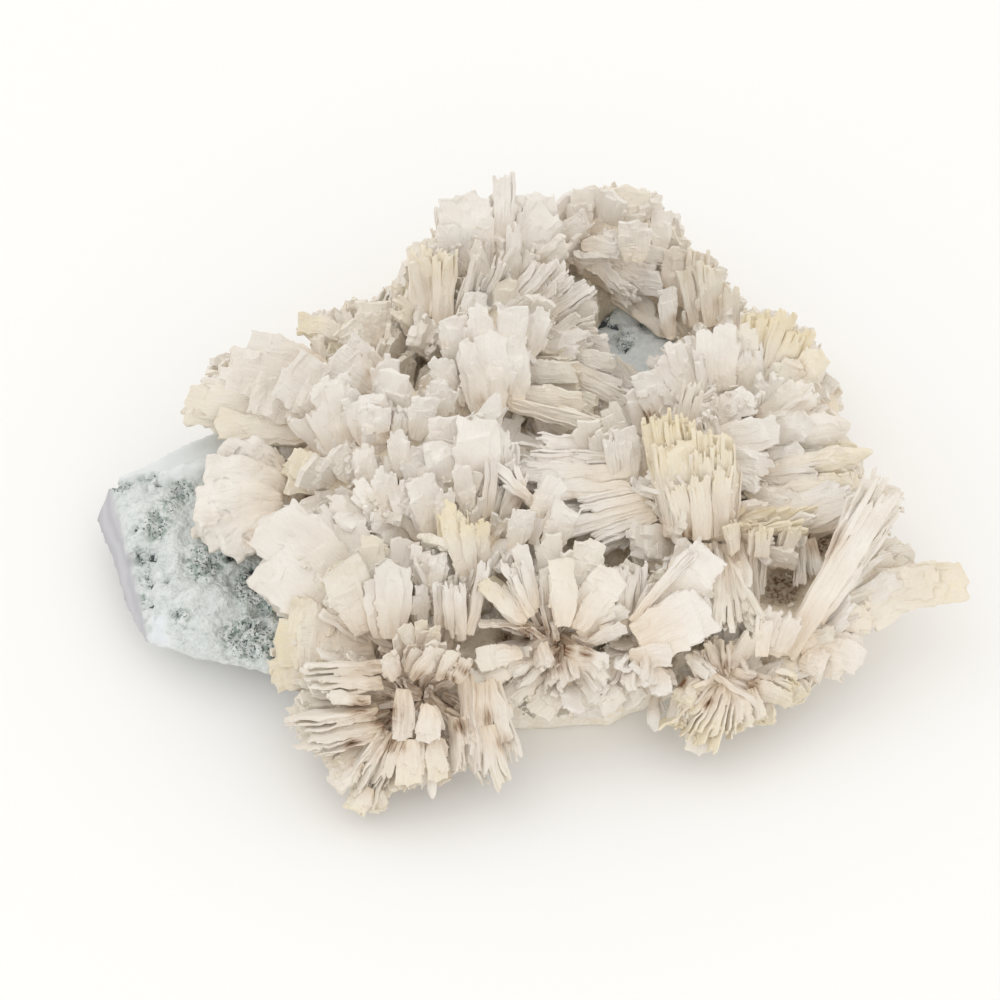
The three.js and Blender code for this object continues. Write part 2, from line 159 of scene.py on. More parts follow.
# ---------------------------------------------------------------------------------------
# The plate of chalcedony that everything grew on: a slab broken round its rim and flat
# below. Its top is a knobbly blue-green skin with dark specks in its pits, its left rim
# shows smooth grey banded agate, and the rest of its sides has a coat of cream quartz.
# ---------------------------------------------------------------------------------------
PLATE_TOP = 16 * MM
PLATE_DETAIL = 1.05 * MM
LEFT_END = -44 * MM  # left of this the plate's skin is bare
BARE_SKIN = [(29, 31, 22)]  # where the crust leaves the top bare at the back: x, y and radius


def applied(block):
    """The mesh of an object with its modifiers applied; the object itself goes."""
    bpy.context.view_layer.update()
    made = bpy.data.meshes.new_from_object(block.evaluated_get(bpy.context.evaluated_depsgraph_get()))
    bpy.data.objects.remove(block)
    return made


def evened(rough_mesh, voxel, smoothing=0):
    """A mesh as one closed skin of even small faces, its edges rounded by some rounds of smoothing."""
    rough = linked("rough_form", rough_mesh)
    remesh = rough.modifiers.new("even", "REMESH")
    remesh.mode = "VOXEL"
    remesh.voxel_size = voxel
    if smoothing:
        rounding = rough.modifiers.new("round", "SMOOTH")
        rounding.factor = 0.5
        rounding.iterations = smoothing
    made = applied(rough)
    bpy.data.meshes.remove(rough_mesh)
    return made


def thinned(full_mesh, share):
    """A mesh with this share of its faces left, fewest where it is flat."""
    full = linked("full_form", full_mesh)
    full.modifiers.new("thin", "DECIMATE").ratio = share
    made = applied(full)
    bpy.data.meshes.remove(full_mesh)
    return made


def remeshed(form, voxel):
    """A bmesh as one closed skin of even small faces."""
    return evened(mesh_from("rough_form", form), voxel)


def columns_of(mesh):
    """The mesh's points and their normals as arrays."""
    points = np.empty(len(mesh.vertices) * 3, np.float32)
    mesh.vertices.foreach_get("co", points)
    normals = np.empty(len(mesh.vertices) * 3, np.float32)
    mesh.vertex_normals.foreach_get("vector", normals)
    return points.reshape(-1, 3).astype(float), normals.reshape(-1, 3).astype(float)


def grain(points, size, octaves, seed):
    """Soft noise about 0, from -1 to 1, whose lumps are about size across, at every point."""
    shift = Vector((seed, 2.3 * seed, -1.7 * seed))
    return np.array([
        noise.fractal(Vector(p) / size + shift, 1.0, 2.0, octaves, noise_basis="PERLIN_ORIGINAL")
        for p in points
    ])


def smooth_step(values, low, high):
    """Eases from 0 at low to 1 at high."""
    share = np.clip((np.asarray(values, float) - low) / (high - low), 0, 1)
    return share * share * (3 - 2 * share)


def near(points, places):
    """How deep each point lies in any of the round places: [x, y, radius] in mm."""
    depth = np.zeros(len(points))
    for x, y, radius in places:
        apart = np.hypot(points[:, 0] - x * MM, points[:, 1] - y * MM)
        depth = np.maximum(depth, 1 - smooth_step(apart, radius * 0.35 * MM, radius * MM))
    return depth


def store(mesh, name, red, green, blue, alpha):
    """Keeps four numbers a point, which the material reads."""
    layer = mesh.attributes.new(name, "FLOAT_COLOR", "POINT")
    values = np.stack([red, green, blue, alpha], 1).astype(np.float32)
    layer.data.foreach_set("color", values.ravel())


def store_place(mesh, places):
    """Keeps each point's place in its own blade, in mm: across, through and along it."""
    layer = mesh.attributes.new("in_blade", "FLOAT_VECTOR", "POINT")
    layer.data.foreach_set("vector", places.astype(np.float32).ravel())


def shown_piece(name, mesh, material, node):
    """Adds a finished mesh to the specimen, in place of a CAD node."""
    mesh.name = name
    mesh.materials.clear()
    mesh.materials.append(material)
    piece = linked(name, mesh)
    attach(piece, "root")
    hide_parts(node)


# Where the skin's dark specks crowd: across and up the view, and radius.
SPECK_PLACES = [
    (-79, -6, 5), (-73, 2.6, 4.5), (-67.5, -14.5, 7), (-56.7, -20, 8), (-58, -31.5, 9), (-73.5, -27, 3.5),
    (-82.5, -13.5, 3.5), (-82, -18, 2.5), (-82.5, -23, 2.5), (-86, 3, 3), (-76, -1.5, 3), (-62, -12, 4),
    (-52, -24, 5), (-53, -33, 6), (-81, 6, 3.5), (24, 43, 4), (28.7, 36.8, 4), (28.7, 25.8, 3), (33, 41, 2),
]
# Places where the skin is chipped off in a clean pale face, and deep black holes in it.
WHITE_CHIPS = [(-78.6, -28.5, 2.6), (-79.2, -31.5, 2.6), (-77.6, -32.5, 2.2)]
BLACK_HOLES = [
    (24.2, 44.5, 2.2), (23.4, 41.5, 2.4), (26, 40.2, 1.6), (-83, -12.9, 1.9), (-80.2, -12.6, 1.3),
    (-83.4, -7.2, 0.9), (-80.9, -19.3, 1.5), (-80.6, -24.3, 1.1), (-88, 3.8, 1.6), (-62.4, -12.4, 1.8),
    (-57, -16, 1.8), (-78.5, 3.1, 0.9), (-57.5, -28, 1.1), (28.5, 35.5, 1.3), (27, 24.8, 1.2),
    (-76.4, -18.2, 0.9), (-62, -19.5, 1.2), (-66.5, -15, 0.9),
]
# The smooth thin shelf along the skin's upper left: across, and how far up it begins.
SHELF_EDGE = [(-90, 3.4), (-86.9, 4.2), (-75.9, 7.2), (-64.9, 9.6), (-51.8, 13.8), (-46, 15)]
# The smooth finger that lies on the shelf: across and up the view, and radius.
SHELF_FINGER = [(-77, 5.8, 2), (-74, 6.3, 2.6), (-71, 6.9, 2.8), (-68, 7.4, 2.8)]
# The skin's left edge, where the broken agate rim begins: up the view, and across.
SKIN_EDGE = [(-33.4, -80.6), (-26.5, -81.4), (-18.4, -83), (-9.2, -84.8), (2.3, -87.2), (6, -90)]


def shown_at(points):
    """Where points show across and up the view, in mm, as columns."""
    eye = np.array(toward_camera[:]) * CAMERA_FAR
    depth = (eye - points) @ np.array(toward_camera[:])
    across = points[:, 0] / depth
    up = (points @ np.array(up_the_view[:])) / depth
    return np.stack([across, up], 1) * (CAMERA_FAR / MM)


plate_form = bmesh.new()
plate_form.from_mesh(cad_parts["chalcedony_matrix"].data)
bmesh.ops.remove_doubles(plate_form, verts=plate_form.verts, dist=1e-5)
finger_base, finger_tip = spot(-65, 8.2, 18.2), spot(-77.4, 5.6, 17.2)
finger_way = (finger_tip - finger_base).to_track_quat("Z", "Y").to_matrix().to_4x4()
bmesh.ops.create_cone(
    plate_form, cap_ends=True, segments=10, radius1=2.2 * MM, radius2=0.9 * MM,
    depth=(finger_tip - finger_base).length,
    matrix=Matrix.Translation(finger_base.lerp(finger_tip, 0.5)) @ finger_way)
plate_mesh = remeshed(plate_form, PLATE_DETAIL)
points, normals = columns_of(plate_mesh)
shown = shown_at(points)
edge = np.interp(shown[:, 1], [place[0] for place in SKIN_EDGE], [place[1] for place in SKIN_EDGE])
off_skin = np.clip(edge - shown[:, 0], 0, 8) * (points[:, 0] < -60 * MM)
left_rim = smooth_step(off_skin, 0.0, 0.8)
left_end = 1 - smooth_step(points[:, 0], LEFT_END - 8 * MM, LEFT_END)
above = smooth_step(points[:, 2], 11 * MM, 15.5 * MM) * smooth_step(normals[:, 2], 0.15, 0.6)
above = np.maximum(above, left_end * smooth_step(points[:, 2], 2 * MM, 5 * MM)) * (1 - left_rim)
bare_side = smooth_step(points[:, 2], 0.8 * MM, 2.5 * MM) * (1 - above)
over_edge = shown[:, 1] - np.interp(shown[:, 0], *zip(*SHELF_EDGE))
shelf = smooth_step(over_edge, -0.4, 0.6) * (points[:, 0] < LEFT_END)
shelf = np.maximum(shelf, near(shown * MM, SHELF_FINGER))
specks = near(shown * MM, SPECK_PLACES) * (1 - shelf)
lumps = np.abs(grain(points, 4.2 * MM, 2, 4.0))
knobs = 1.2 * grain(points, 8 * MM, 2, 1.0) + 2.1 * lumps + 1.0 * np.abs(grain(points, 1.9 * MM, 1, 5.0))
pits = np.clip(grain(points, 2.8 * MM, 2, 9.0) + 0.05, 0, 1) * specks + 0.5 * near(shown * MM, BLACK_HOLES)
chips = grain(points, 9 * MM, 2, 6.0) * 0.9 + grain(points, 2.4 * MM, 1, 7.0) * 0.2
in_window = near(points, BARE_SKIN)
coat_edge = points[:, 0] + 18 * MM * grain(points, 12 * MM, 3, 12.0) * smooth_step(points[:, 1], 0, 10 * MM)
coat = smooth_step(coat_edge, -48 * MM, -38 * MM) * (1 - smooth_step(in_window, 0.0, 0.3))
chips += coat * (0.9 * np.abs(grain(points, 5 * MM, 2, 13.0)) + 0.3 * grain(points, 2.4 * MM, 2, 14.0))
upward = smooth_step(normals[:, 2], -0.1, 0.7)
knobs = knobs * (1 - 0.85 * shelf) + 0.9 * shelf
lift = above * (knobs * (0.25 + 0.75 * upward) - 0.6 - 4.5 * pits)
lift += bare_side * chips * (1 - 0.6 * left_rim)
points += normals * (lift * MM)[:, None]
cut_back = 1.25 * off_skin * np.clip(points[:, 2] / PLATE_TOP, 0, 1)
points -= np.array(toward_camera[:]) * (cut_back * MM)[:, None]
points[:, 0] -= 1.6 * MM * smooth_step(-points[:, 0], 78 * MM, 88 * MM)
over = np.clip(over_edge / 4, 0, 1) * (points[:, 0] < LEFT_END)
points -= np.outer(over * (points[:, 2] > 7 * MM) * 1.5 * MM, np.array(up_the_view[:]))
points[:, 2] = np.maximum(points[:, 2], 0)
plate_mesh.vertices.foreach_set("co", points.astype(np.float32).ravel())
crease = (1 - smooth_step(lumps, 0.02, 0.3)) * (1 - shelf)
store(plate_mesh, "skin", above, specks, coat, crease)
none = np.zeros(len(points))
white_chip = near(shown * MM, WHITE_CHIPS) * (1 - coat)
black_holes = near(shown * MM, BLACK_HOLES) * above
# The shelf is paler in its own colour. The skin in the bare window is also paled: painted light that lifts
# the shade falling in that deep hollow.
pale_shelf_and_window_light = np.maximum(0.35 * shelf, 0.2 * in_window) * above
store(plate_mesh, "marks_and_window_light", np.maximum(white_chip, pale_shelf_and_window_light), black_holes, none, none + 1)
plate_mesh.shade_smooth()


def stored(tree, name):
    """The four numbers that a mesh keeps under a name."""
    kept = add(tree, "ShaderNodeAttribute", attribute_name=name)
    parts = add(tree, "ShaderNodeSeparateColor", [("Color", kept.outputs["Color"])])
    return (*parts.outputs, kept.outputs["Alpha"])


def in_millimetres(tree):
    """A point's place in mm, which textures are laid by."""
    place = add(tree, "ShaderNodeTexCoord").outputs["Object"]
    return add(tree, "ShaderNodeMapping", [("Vector", place), ("Scale", (1000, 1000, 1000))]).outputs[0]


def mottled(tree, place, scale, detail, roughness=0.5):
    """Soft noise from 0 to 1 over a place."""
    return add(tree, "ShaderNodeTexNoise", [
        ("Vector", place), ("Scale", scale), ("Detail", detail), ("Roughness", roughness),
    ]).outputs["Fac"]


def blend(tree, share, first, second):
    """Mixes two colours, each a hex string or another node's output, and returns the mixed one."""
    ends = [linear(end) if isinstance(end, str) else end for end in (first, second)]
    return add(tree, "ShaderNodeMix", [(0, share), (6, ends[0]), (7, ends[1])], data_type="RGBA").outputs[2]


def spread(tree, value, low, high, low_result=0.0, high_result=1.0):
    """Maps a value from one range to another, and returns the result."""
    return add(tree, "ShaderNodeMapRange", [
        ("Value", value), ("From Min", low), ("From Max", high),
        ("To Min", low_result), ("To Max", high_result),
    ]).outputs[0]


def reckon(tree, operation, *terms, clamped=False):
    """Does one sum on its terms, and returns the result."""
    made = add(tree, "ShaderNodeMath", list(enumerate(terms)), operation=operation, use_clamp=clamped)
    return made.outputs[0]


# Chalcedony: microcrystalline quartz. The skin is matt and chalky, the broken rim waxy.
chalcedony, tree, shader = bare_material("chalcedony_skin_and_agate", 0.6)
in_mm = in_millimetres(tree)
skinned, specked, coated, creased = stored(tree, "skin")
skin_tone = blend(tree, mottled(tree, in_mm, 0.16, 3), "#CED5D3", "#E8EBE8")
mottle = mottled(tree, in_mm, 0.75, 4)
green_film = spread(tree, mottle, 0.44, 0.62)
film_depth = reckon(tree, "MULTIPLY_ADD", creased, 0.3, specked, clamped=True)
film_share = reckon(tree, "MULTIPLY", green_film, film_depth)
skin_film = blend(tree, film_share, skin_tone, "#8C9C93")
flecks = mottled(tree, in_mm, 1.7, 3)
fleck_edge = reckon(tree, "MULTIPLY_ADD", specked, -0.2, 0.76)
fleck_over = reckon(tree, "SUBTRACT", flecks, fleck_edge)
fleck_share = spread(tree, fleck_over, 0.0, 0.025)
skin = blend(tree, fleck_share, skin_film, "#3D4743")
banded = add(tree, "ShaderNodeTexWave", [
    ("Vector", in_mm), ("Scale", 0.1), ("Distortion", 5.0), ("Detail", 3.0),
], bands_direction="Z")
agate = blend(tree, banded.outputs["Fac"], "#ABAAAF", "#B8B7BB")
outside = blend(tree, skinned, agate, skin)
# Red holds the pale chips, the pale shelf and the painted light in the bare window; green holds the black
# holes.
chip_and_window_light, hole, _, _ = stored(tree, "marks_and_window_light")
chipped_and_window_lit = blend(tree, chip_and_window_light, outside, "#DCE0E4")
hole_depth = reckon(tree, "MULTIPLY_ADD", hole, 1.0, flecks)
hole_share = spread(tree, hole_depth, 1.12, 1.3)
holed = blend(tree, hole_share, chipped_and_window_lit, "#3F4649")
blotches = spread(tree, mottle, 0.35, 0.6)
coat_colour = blend(tree, blotches, "#EADCC4", "#F5EDE0")
whole = blend(tree, coated, holed, coat_colour)
tree.links.new(whole, shader.inputs["Base Color"])
buds = add(tree, "ShaderNodeTexVoronoi", [
    ("Vector", in_mm), ("Scale", 0.9), ("Smoothness", 0.4),
], feature="SMOOTH_F1")
budded = reckon(tree, "MULTIPLY_ADD", buds.outputs["Distance"], -1.1, mottled(tree, in_mm, 1.6, 4))
roughened = spread(tree, chip_and_window_light, 0.0, 0.35, 1.0, 0.1)
rough_skin = reckon(tree, "MULTIPLY", roughened, skinned)
rough_coat = reckon(tree, "MULTIPLY", coated, 0.3)
roughest = reckon(tree, "MAXIMUM", rough_skin, rough_coat)
grit = reckon(tree, "MULTIPLY", budded, roughest)
relief = add(tree, "ShaderNodeBump", [("Height", grit), ("Strength", 0.9), ("Distance", 0.55 * MM)])
tree.links.new(relief.outputs[0], shader.inputs["Normal"])
shown_piece("chalcedony_plate", plate_mesh, chalcedony, "chalcedony_matrix")

# ---------------------------------------------------------------------------------------
# The bed: a crust of small quartz crystals that covers the plate and swells into a low
# mound under each spray. It is stained tan to brown by iron, most of all in the hollows.
# ---------------------------------------------------------------------------------------
LUMP_DETAIL = 1.3 * MM
BED_DETAIL = 1.1 * MM
BED_SHARE = 0.45  # of the bed's faces that are kept
BED_OUTLINE = [
    (-46, -59), (-30, -63), (0, -67), (26, -67), (45, -60), (64, -54), (79, -44), (85, -28),
    (81, -5), (75, 11), (65, 33), (44, 51), (22, 62), (-4, 64), (-20, 54), (-33, 38),
    (-46, 19), (-41, 0), (-42, -20), (-48, -40),
]
BED_WINDOW = [(25, 46), (21, 37), (26, 28), (24, 19), (35, 16), (38, 27), (42, 34), (35, 44)]
# Each spray's seat, where its blades leave the bed: across, up and height, and mound radius.
SEATS = {
    "front_rosette": (-19, -45, 17, 8), "broad_fan": (-25, -34, 20, 9),
    "jumbled_blocks": (-11, -33, 20, 8), "star_spray": (14, -32, 21, 9),
    "white_petals": (-6, -8, 24, 9), "middle_jumble": (-24, 3, 26, 9),
    "blocky_mass": (-25, 24, 26, 10), "yellow_tipped_spray": (-20, 35, 22, 9),
    "tall_back_spray": (-10, 32, 22, 10), "back_right_spray": (20, 54, 22, 9),
    "window_rod": (29, 48, 19, 6), "drusy_cluster": (43, 48, 18, 8),
    "great_right_spray": (55, 14, 24, 10), "fluted_column": (49, -8, 28, 8),
    "flat_slats": (35, 0, 25, 7), "wide_plates": (34, -32, 21, 8),
    "long_diagonal": (66, -33, 18, 7), "fine_yellow_spray": (52, -40, 17, 7),
}
# Swells between the sprays: x, y, radius and height over the plate.
HUMMOCKS = [
    (8, 42, 12, 10), (48, 27, 10, 9), (66, 14, 12, 9), (15, 6, 12, 8), (70, -12, 12, 8),
    (-12, 50, 11, 8), (-40, -20, 12, 8), (4, -50, 13, 5), (30, -52, 13, 5), (60, -30, 12, 6),
    (-45, 8, 14, 7), (-30, -8, 16, 9), (-30, 20, 16, 9), (-15, -32, 15, 7), (0, -18, 16, 9),
    (2, 10, 15, 10), (-6, 32, 15, 9), (20, -28, 16, 8), (32, -8, 14, 9), (45, -22, 15, 8),
    (54, 2, 16, 9), (50, -42, 13, 5), (12, -46, 14, 5), (-12, -56, 13, 4), (-34, -38, 13, 6),
    (-8, -44, 13, 5), (30, -44, 13, 5), (60, 28, 12, 6), (-24, 36, 12, 7),
]
# Welded lumps inside the sprays: one end and the other (across, up, height), and radii.
CORES = [
    ((-38, 17, 26), (-62, 24, 22), 8, 4.5), ((-36, 20, 27), (-52, 27, 25), 7, 5),
    ((-30, 6, 29), (-22, 10, 31), 8, 8), ((-42, 6, 24), (-30, -2, 27), 6, 8),
    ((-22, 19, 31), (-15, 19, 32), 6, 6), ((-34, -14, 24), (-44, -24, 19), 7, 6),
    ((-6, 4, 31), (-4, 10, 34), 7, 6), ((-1, 34, 31), (0, 52, 33), 9, 6),
    ((-14, 42, 29), (-16, 50, 31), 6, 5), ((50, 22, 31), (62, 24, 28), 8, 7),
    ((45, 0, 31), (44, 10, 34), 6, 6), ((28, 60, 28), (32, 62, 26), 7, 7),
    ((-14, -16, 27), (-6, -12, 29), 6, 6), ((20, 2, 26), (30, 4, 28), 5, 6),
    ((40, -20, 24), (46, -22, 23), 5, 5), ((74, -26, 16), (86, -18, 17), 5, 4),
    ((64, -6, 26), (70, -8, 24), 5, 5), ((-28, -9, 23), (-21, -8, 26), 6, 6),
    ((34, -2, 25), (38, -14, 24), 5, 5),
]
# Deep dark hollows where few crystals grew: across and up the view, and radius. The bed sinks
# and is iron-stained in them, and its tone there is darkened as painted shade.
DARK_PLACES = [
    (-44, 0, 3), (-57.5, -9, 2.5), (-29.5, 29, 2), (-26, 15, 1.8), (-13, 36, 1.8), (4, 0, 3), (16.5, 1, 2),
    (38, -8, 3), (65, -20, 7), (75, -9.5, 5.5), (51, -39, 2.5), (39, -37, 2.5), (14, -34, 3), (1, -31, 3.5),
    (-26, -50, 3), (-12, -47, 2.5), (-18.5, -42, 2.5), (-7.5, -38, 2.5), (-31, -34, 2.5), (9.5, 55.5, 2),
    (-4.5, 23, 2), (6.5, 17, 2.5), (19.5, 15, 2), (40, 41.5, 2), (50, 45, 2),
]


def flat_outline(form, corners, height):
    """A flat face through corners given in mm."""
    rim = [form.verts.new((x * MM, y * MM, height)) for x, y in corners]
    return form.faces.new(rim)


def extruded(form, face, rise):
    """Raises a flat face in a block."""
    raised = bmesh.ops.extrude_face_region(form, geom=[face])["geom"]
    tops = [part for part in raised if isinstance(part, bmesh.types.BMVert)]
    bmesh.ops.translate(form, vec=(0, 0, rise), verts=tops)


def core(form, start, end, radius, end_radius):
    """A solid lump of crust inside a spray, from one point to another."""
    for step in range(5):
        share = step / 4
        size = (radius + (end_radius - radius) * share) * MM
        placed = Matrix.Translation(start.lerp(end, share))
        bmesh.ops.create_icosphere(form, subdivisions=3, radius=size, matrix=placed)


def mound(form, x, y, radius, top):
    """A low swell on the plate."""
    low = PLATE_TOP - 2 * MM
    placed = Matrix.Translation((x, y, low)) @ Matrix.Diagonal((radius, radius, top - low, 1))
    bmesh.ops.create_icosphere(form, subdivisions=3, radius=1, matrix=placed)


bed_form = bmesh.new()
extruded(bed_form, flat_outline(bed_form, BED_OUTLINE, PLATE_TOP - 3 * MM), 6 * MM)
bmesh.ops.recalc_face_normals(bed_form, faces=bed_form.faces)
for across, up, height, radius in SEATS.values():
    seat = spot(across, up, height)
    mound(bed_form, seat.x, seat.y, radius * MM, seat.z - 1 * MM)
for x, y, radius, height in HUMMOCKS:
    mound(bed_form, x * MM, y * MM, radius * MM, PLATE_TOP + height * MM)
for start, end, radius, end_radius in CORES:
    core(bed_form, spot(*start), spot(*end), radius, end_radius)
bed_mesh = remeshed(bed_form, LUMP_DETAIL)
window_form = bmesh.new()
extruded(window_form, flat_outline(window_form, BED_WINDOW, PLATE_TOP - 8 * MM), 40 * MM)
bmesh.ops.recalc_face_normals(window_form, faces=window_form.faces)
window_cut = linked("window_cut", mesh_from("window_cut", window_form))
bed_block = linked("bed_block", bed_mesh)
cut = bed_block.modifiers.new("window", "BOOLEAN")
cut.operation = "DIFFERENCE"
cut.object = window_cut
cut.solver = "EXACT"
cut_mesh = applied(bed_block)
bpy.data.objects.remove(window_cut)
cut_form = bmesh.new()
cut_form.from_mesh(cut_mesh)
bed_mesh = remeshed(cut_form, BED_DETAIL)
points, normals = columns_of(bed_mesh)
lumps = 1.3 * grain(points, 5.5 * MM, 2, 21.0) + 1.3 * np.abs(grain(points, 2.4 * MM, 2, 24.0))
dark = near(shown_at(points) * MM, DARK_PLACES)
high = smooth_step(points[:, 2], PLATE_TOP + 1 * MM, PLATE_TOP + 6 * MM)
points += normals * ((lumps - 0.3 - 3.5 * dark * high) * MM)[:, None]
bed_mesh.vertices.foreach_set("co", points.astype(np.float32).ravel())
hollow = 1 - smooth_step(lumps, -0.4, 1.1)
none = np.zeros(len(points))
# Iron stains the bed's hollows and deep dark places; in the deep dark places its tone is also darkened, as
# painted shade.
store(bed_mesh, "growth", none + 0.2, none + 0.3, np.maximum(0.05 + 0.2 * hollow, dark), 0.65 - 2.8 * dark)
store_place(bed_mesh, points / MM)
store(bed_mesh, "joint", none, none, none, none)
bed_mesh.shade_smooth()
bed_mesh = thinned(bed_mesh, BED_SHARE)

# Quartz that grew as a sugary druse over blades of anhydrite and took their shape: milky,
# matt, with grains of about half a millimetre, cream at many tips and iron-brown at roots.
# "growth" holds, per point: how far out along its blade, cream, iron stain, and tone, which is
# darkened as painted shade in the bed's deep dark places and in the blades' grooves.
drusy_quartz, tree, shader = bare_material("sugary_milky_quartz", 0.72)
in_mm = in_millimetres(tree)
outward, cream, iron, lightness = stored(tree, "growth")
cloud_share = spread(tree, mottled(tree, in_mm, 0.11, 3), 0.35, 0.65)
milky = blend(tree, cloud_share, "#F6F0E7", "#EFE6DB")
# Painted warm shade: toward the roots, where the blades crowd, the milky colour is warmed to tan to stand
# in for light bounced between the cream blades.
root_warm_shade_share = spread(tree, outward, 0.0, 0.7, 0.6, 0.0)
painted_warm_root_shade = blend(tree, root_warm_shade_share, milky, "#EAD9BD")
cream_noise = spread(tree, mottled(tree, in_mm, 0.55, 5, 0.6), 0.3, 0.7, 0.55, 1.0)
cream_share = reckon(tree, "MULTIPLY", cream, cream_noise)
creamy = blend(tree, cream_share, painted_warm_root_shade, "#F0DEB0")
sugar = mottled(tree, in_mm, 1.9, 3, 0.65)
in_blade = add(tree, "ShaderNodeAttribute", attribute_name="in_blade").outputs["Vector"]
drawn_out = add(tree, "ShaderNodeMapping", [("Vector", in_blade), ("Scale", (1.1, 1.1, 0.12))]).outputs[0]
ribs = mottled(tree, drawn_out, 1, 3, 0.6)
stain_noise = spread(tree, ribs, 0.38, 0.62, 1.0, 0.35)
stain_share = reckon(tree, "MULTIPLY", iron, stain_noise, clamped=True)
stain_colour = blend(tree, stain_share, "#D3A76C", "#6B4526")
stained = blend(tree, stain_share, creamy, stain_colour)
tone = spread(tree, lightness, -3.0, 1.0, 0.48, 1.02)
# Painted light: the colour is lighter toward each blade's root and darker toward its tip, to lift the shade
# in the gaps between blades.
tone_with_painted_root_light = reckon(tree, "MULTIPLY_ADD", outward, -0.07, tone)
toned = add(tree, "ShaderNodeVectorMath", [(0, stained), (3, tone_with_painted_root_light)], operation="SCALE")
tree.links.new(toned.outputs[0], shader.inputs["Base Color"])
joint = add(tree, "ShaderNodeAttribute", attribute_name="joint").outputs["Fac"]
even_ribs = add(tree, "ShaderNodeMix", [(0, joint), (2, ribs), (3, 0.42)]).outputs[0]
both = reckon(tree, "MULTIPLY_ADD", sugar, 0.35, even_ribs)
relief = add(tree, "ShaderNodeBump", [("Height", both), ("Strength", 0.9), ("Distance", 0.6 * MM)])
tree.links.new(relief.outputs[0], shader.inputs["Normal"])
shown_piece("drusy_bed", bed_mesh, drusy_quartz, "quartz_blade_crust")

# ---------------------------------------------------------------------------------------
# The blades. Each was a flat blade of anhydrite that split into thin laminae; quartz
# coated and replaced them, so a blade is now a rough book of plates with broken, stepped
# ends. They grew in sprays, each from one seat on the bed.
# ---------------------------------------------------------------------------------------
# A few of each kind of blade are made, and laid many times. A finished one stands from 0
# to 1 along Z, and is 1 wide along X and 1 thick along Y.
dice = random.Random(4021)
BOOK_LENGTH = 24.0  # mm, the size that blades are made at, before they are stretched to fit
BOOK_DETAIL = 0.34  # mm
SPALL_LENGTH = 12  # mm


def swing(reach):
    """A random number from -reach to reach."""
    return dice.uniform(-reach, reach)


def jagged_plate(form, width, thick, length, teeth, matrix, root, shoulder, tip, drop):
    """A flat plate with saw-toothed sides and an end broken in small steps, standing along Z.

    Its widest place is the shoulder. Root and tip are its width at the ends, against that, and
    drop is how far its end is broken away: all are shares of the whole.
    """

    def half(station):
        """Half the plate's width at a share of its length."""
        fullness = root + (1 - root) * math.sin(min(station / shoulder, 1) * math.pi / 2)
        return fullness * (1 - (1 - tip) * max(station - shoulder, 0) / (1 - shoulder)) * width / 2

    def side():
        """One saw-toothed side, from root to tip."""
        between = sorted(dice.uniform(0.1, 0.95) for _ in range(teeth))
        stations = [0.0] + between + [1 - drop * dice.random()]
        edge = []
        for low, high in zip(stations, stations[1:]):
            edge.append((half(low) - dice.uniform(0, 0.07) * width, low * length))
            edge.append((half(high) + dice.uniform(-0.01, 0.05) * width, high * length))
        return edge

    right = side()
    left = [(-x, z) for x, z in reversed(side())]
    steps = max(2, teeth // 2 + 1)
    inner_cuts = sorted((swing(0.4) * width * tip for _ in range(steps - 1)), reverse=True)
    cuts = [right[-1][0]] + inner_cuts
    end = []
    for first, last in zip(cuts, cuts[1:] + [left[0][0]]):
        middle = (first + last) / width
        height = length * (1 - drop * (0.6 * dice.random() + 0.9 * middle * middle))
        slope = dice.uniform(0.1, 0.7) * (first - last) * (1 if middle > 0 else -1)
        end += [(first, height - max(slope, 0)), (last, height + min(slope, 0))]
    rim = [form.verts.new(matrix @ Vector((x, -thick / 2, z))) for x, z in right + end + left]
    raised = bmesh.ops.extrude_face_region(form, geom=[form.faces.new(rim)])["geom"]
    bmesh.ops.translate(form, vec=matrix.to_3x3() @ Vector((0, thick, 0)),
                        verts=[part for part in raised if isinstance(part, bmesh.types.BMVert)])


def leaning(x, y, z, lean=0.0, roll=0.0, turn=0.0):
    """Places a shape with its foot at x, y, z in mm, leaning sideways, rolled and turned."""
    turns = (
        Matrix.Rotation(math.radians(lean), 4, "Y")
        @ Matrix.Rotation(math.radians(roll), 4, "X")
        @ Matrix.Rotation(math.radians(turn), 4, "Z")
    )
    return Matrix.Translation((x, y, z)) @ turns


def blocks(form, count, half_width, half_depth, heights, sizes, tumble, stretch=1.0):
    """Small block crystals here and there on a blade."""
    for _ in range(count):
        x, y, z = swing(half_width), swing(half_depth), dice.uniform(*heights)
        size = dice.uniform(*sizes)
        placed = leaning(x, y, z, swing(tumble), swing(tumble))
        depth, height = size * dice.uniform(0.4, 0.9), size * dice.uniform(0.8, 1.7) * stretch
        bmesh.ops.create_cube(form, size=1, matrix=placed @ Matrix.Diagonal((size, depth, height, 1)))


def triangles_of(mesh):
    """The corners of the mesh's triangles."""
    mesh.calc_loop_triangles()
    faces = np.empty(len(mesh.loop_triangles) * 3, np.int32)
    mesh.loop_triangles.foreach_get("vertices", faces)
    return faces.reshape(-1, 3)


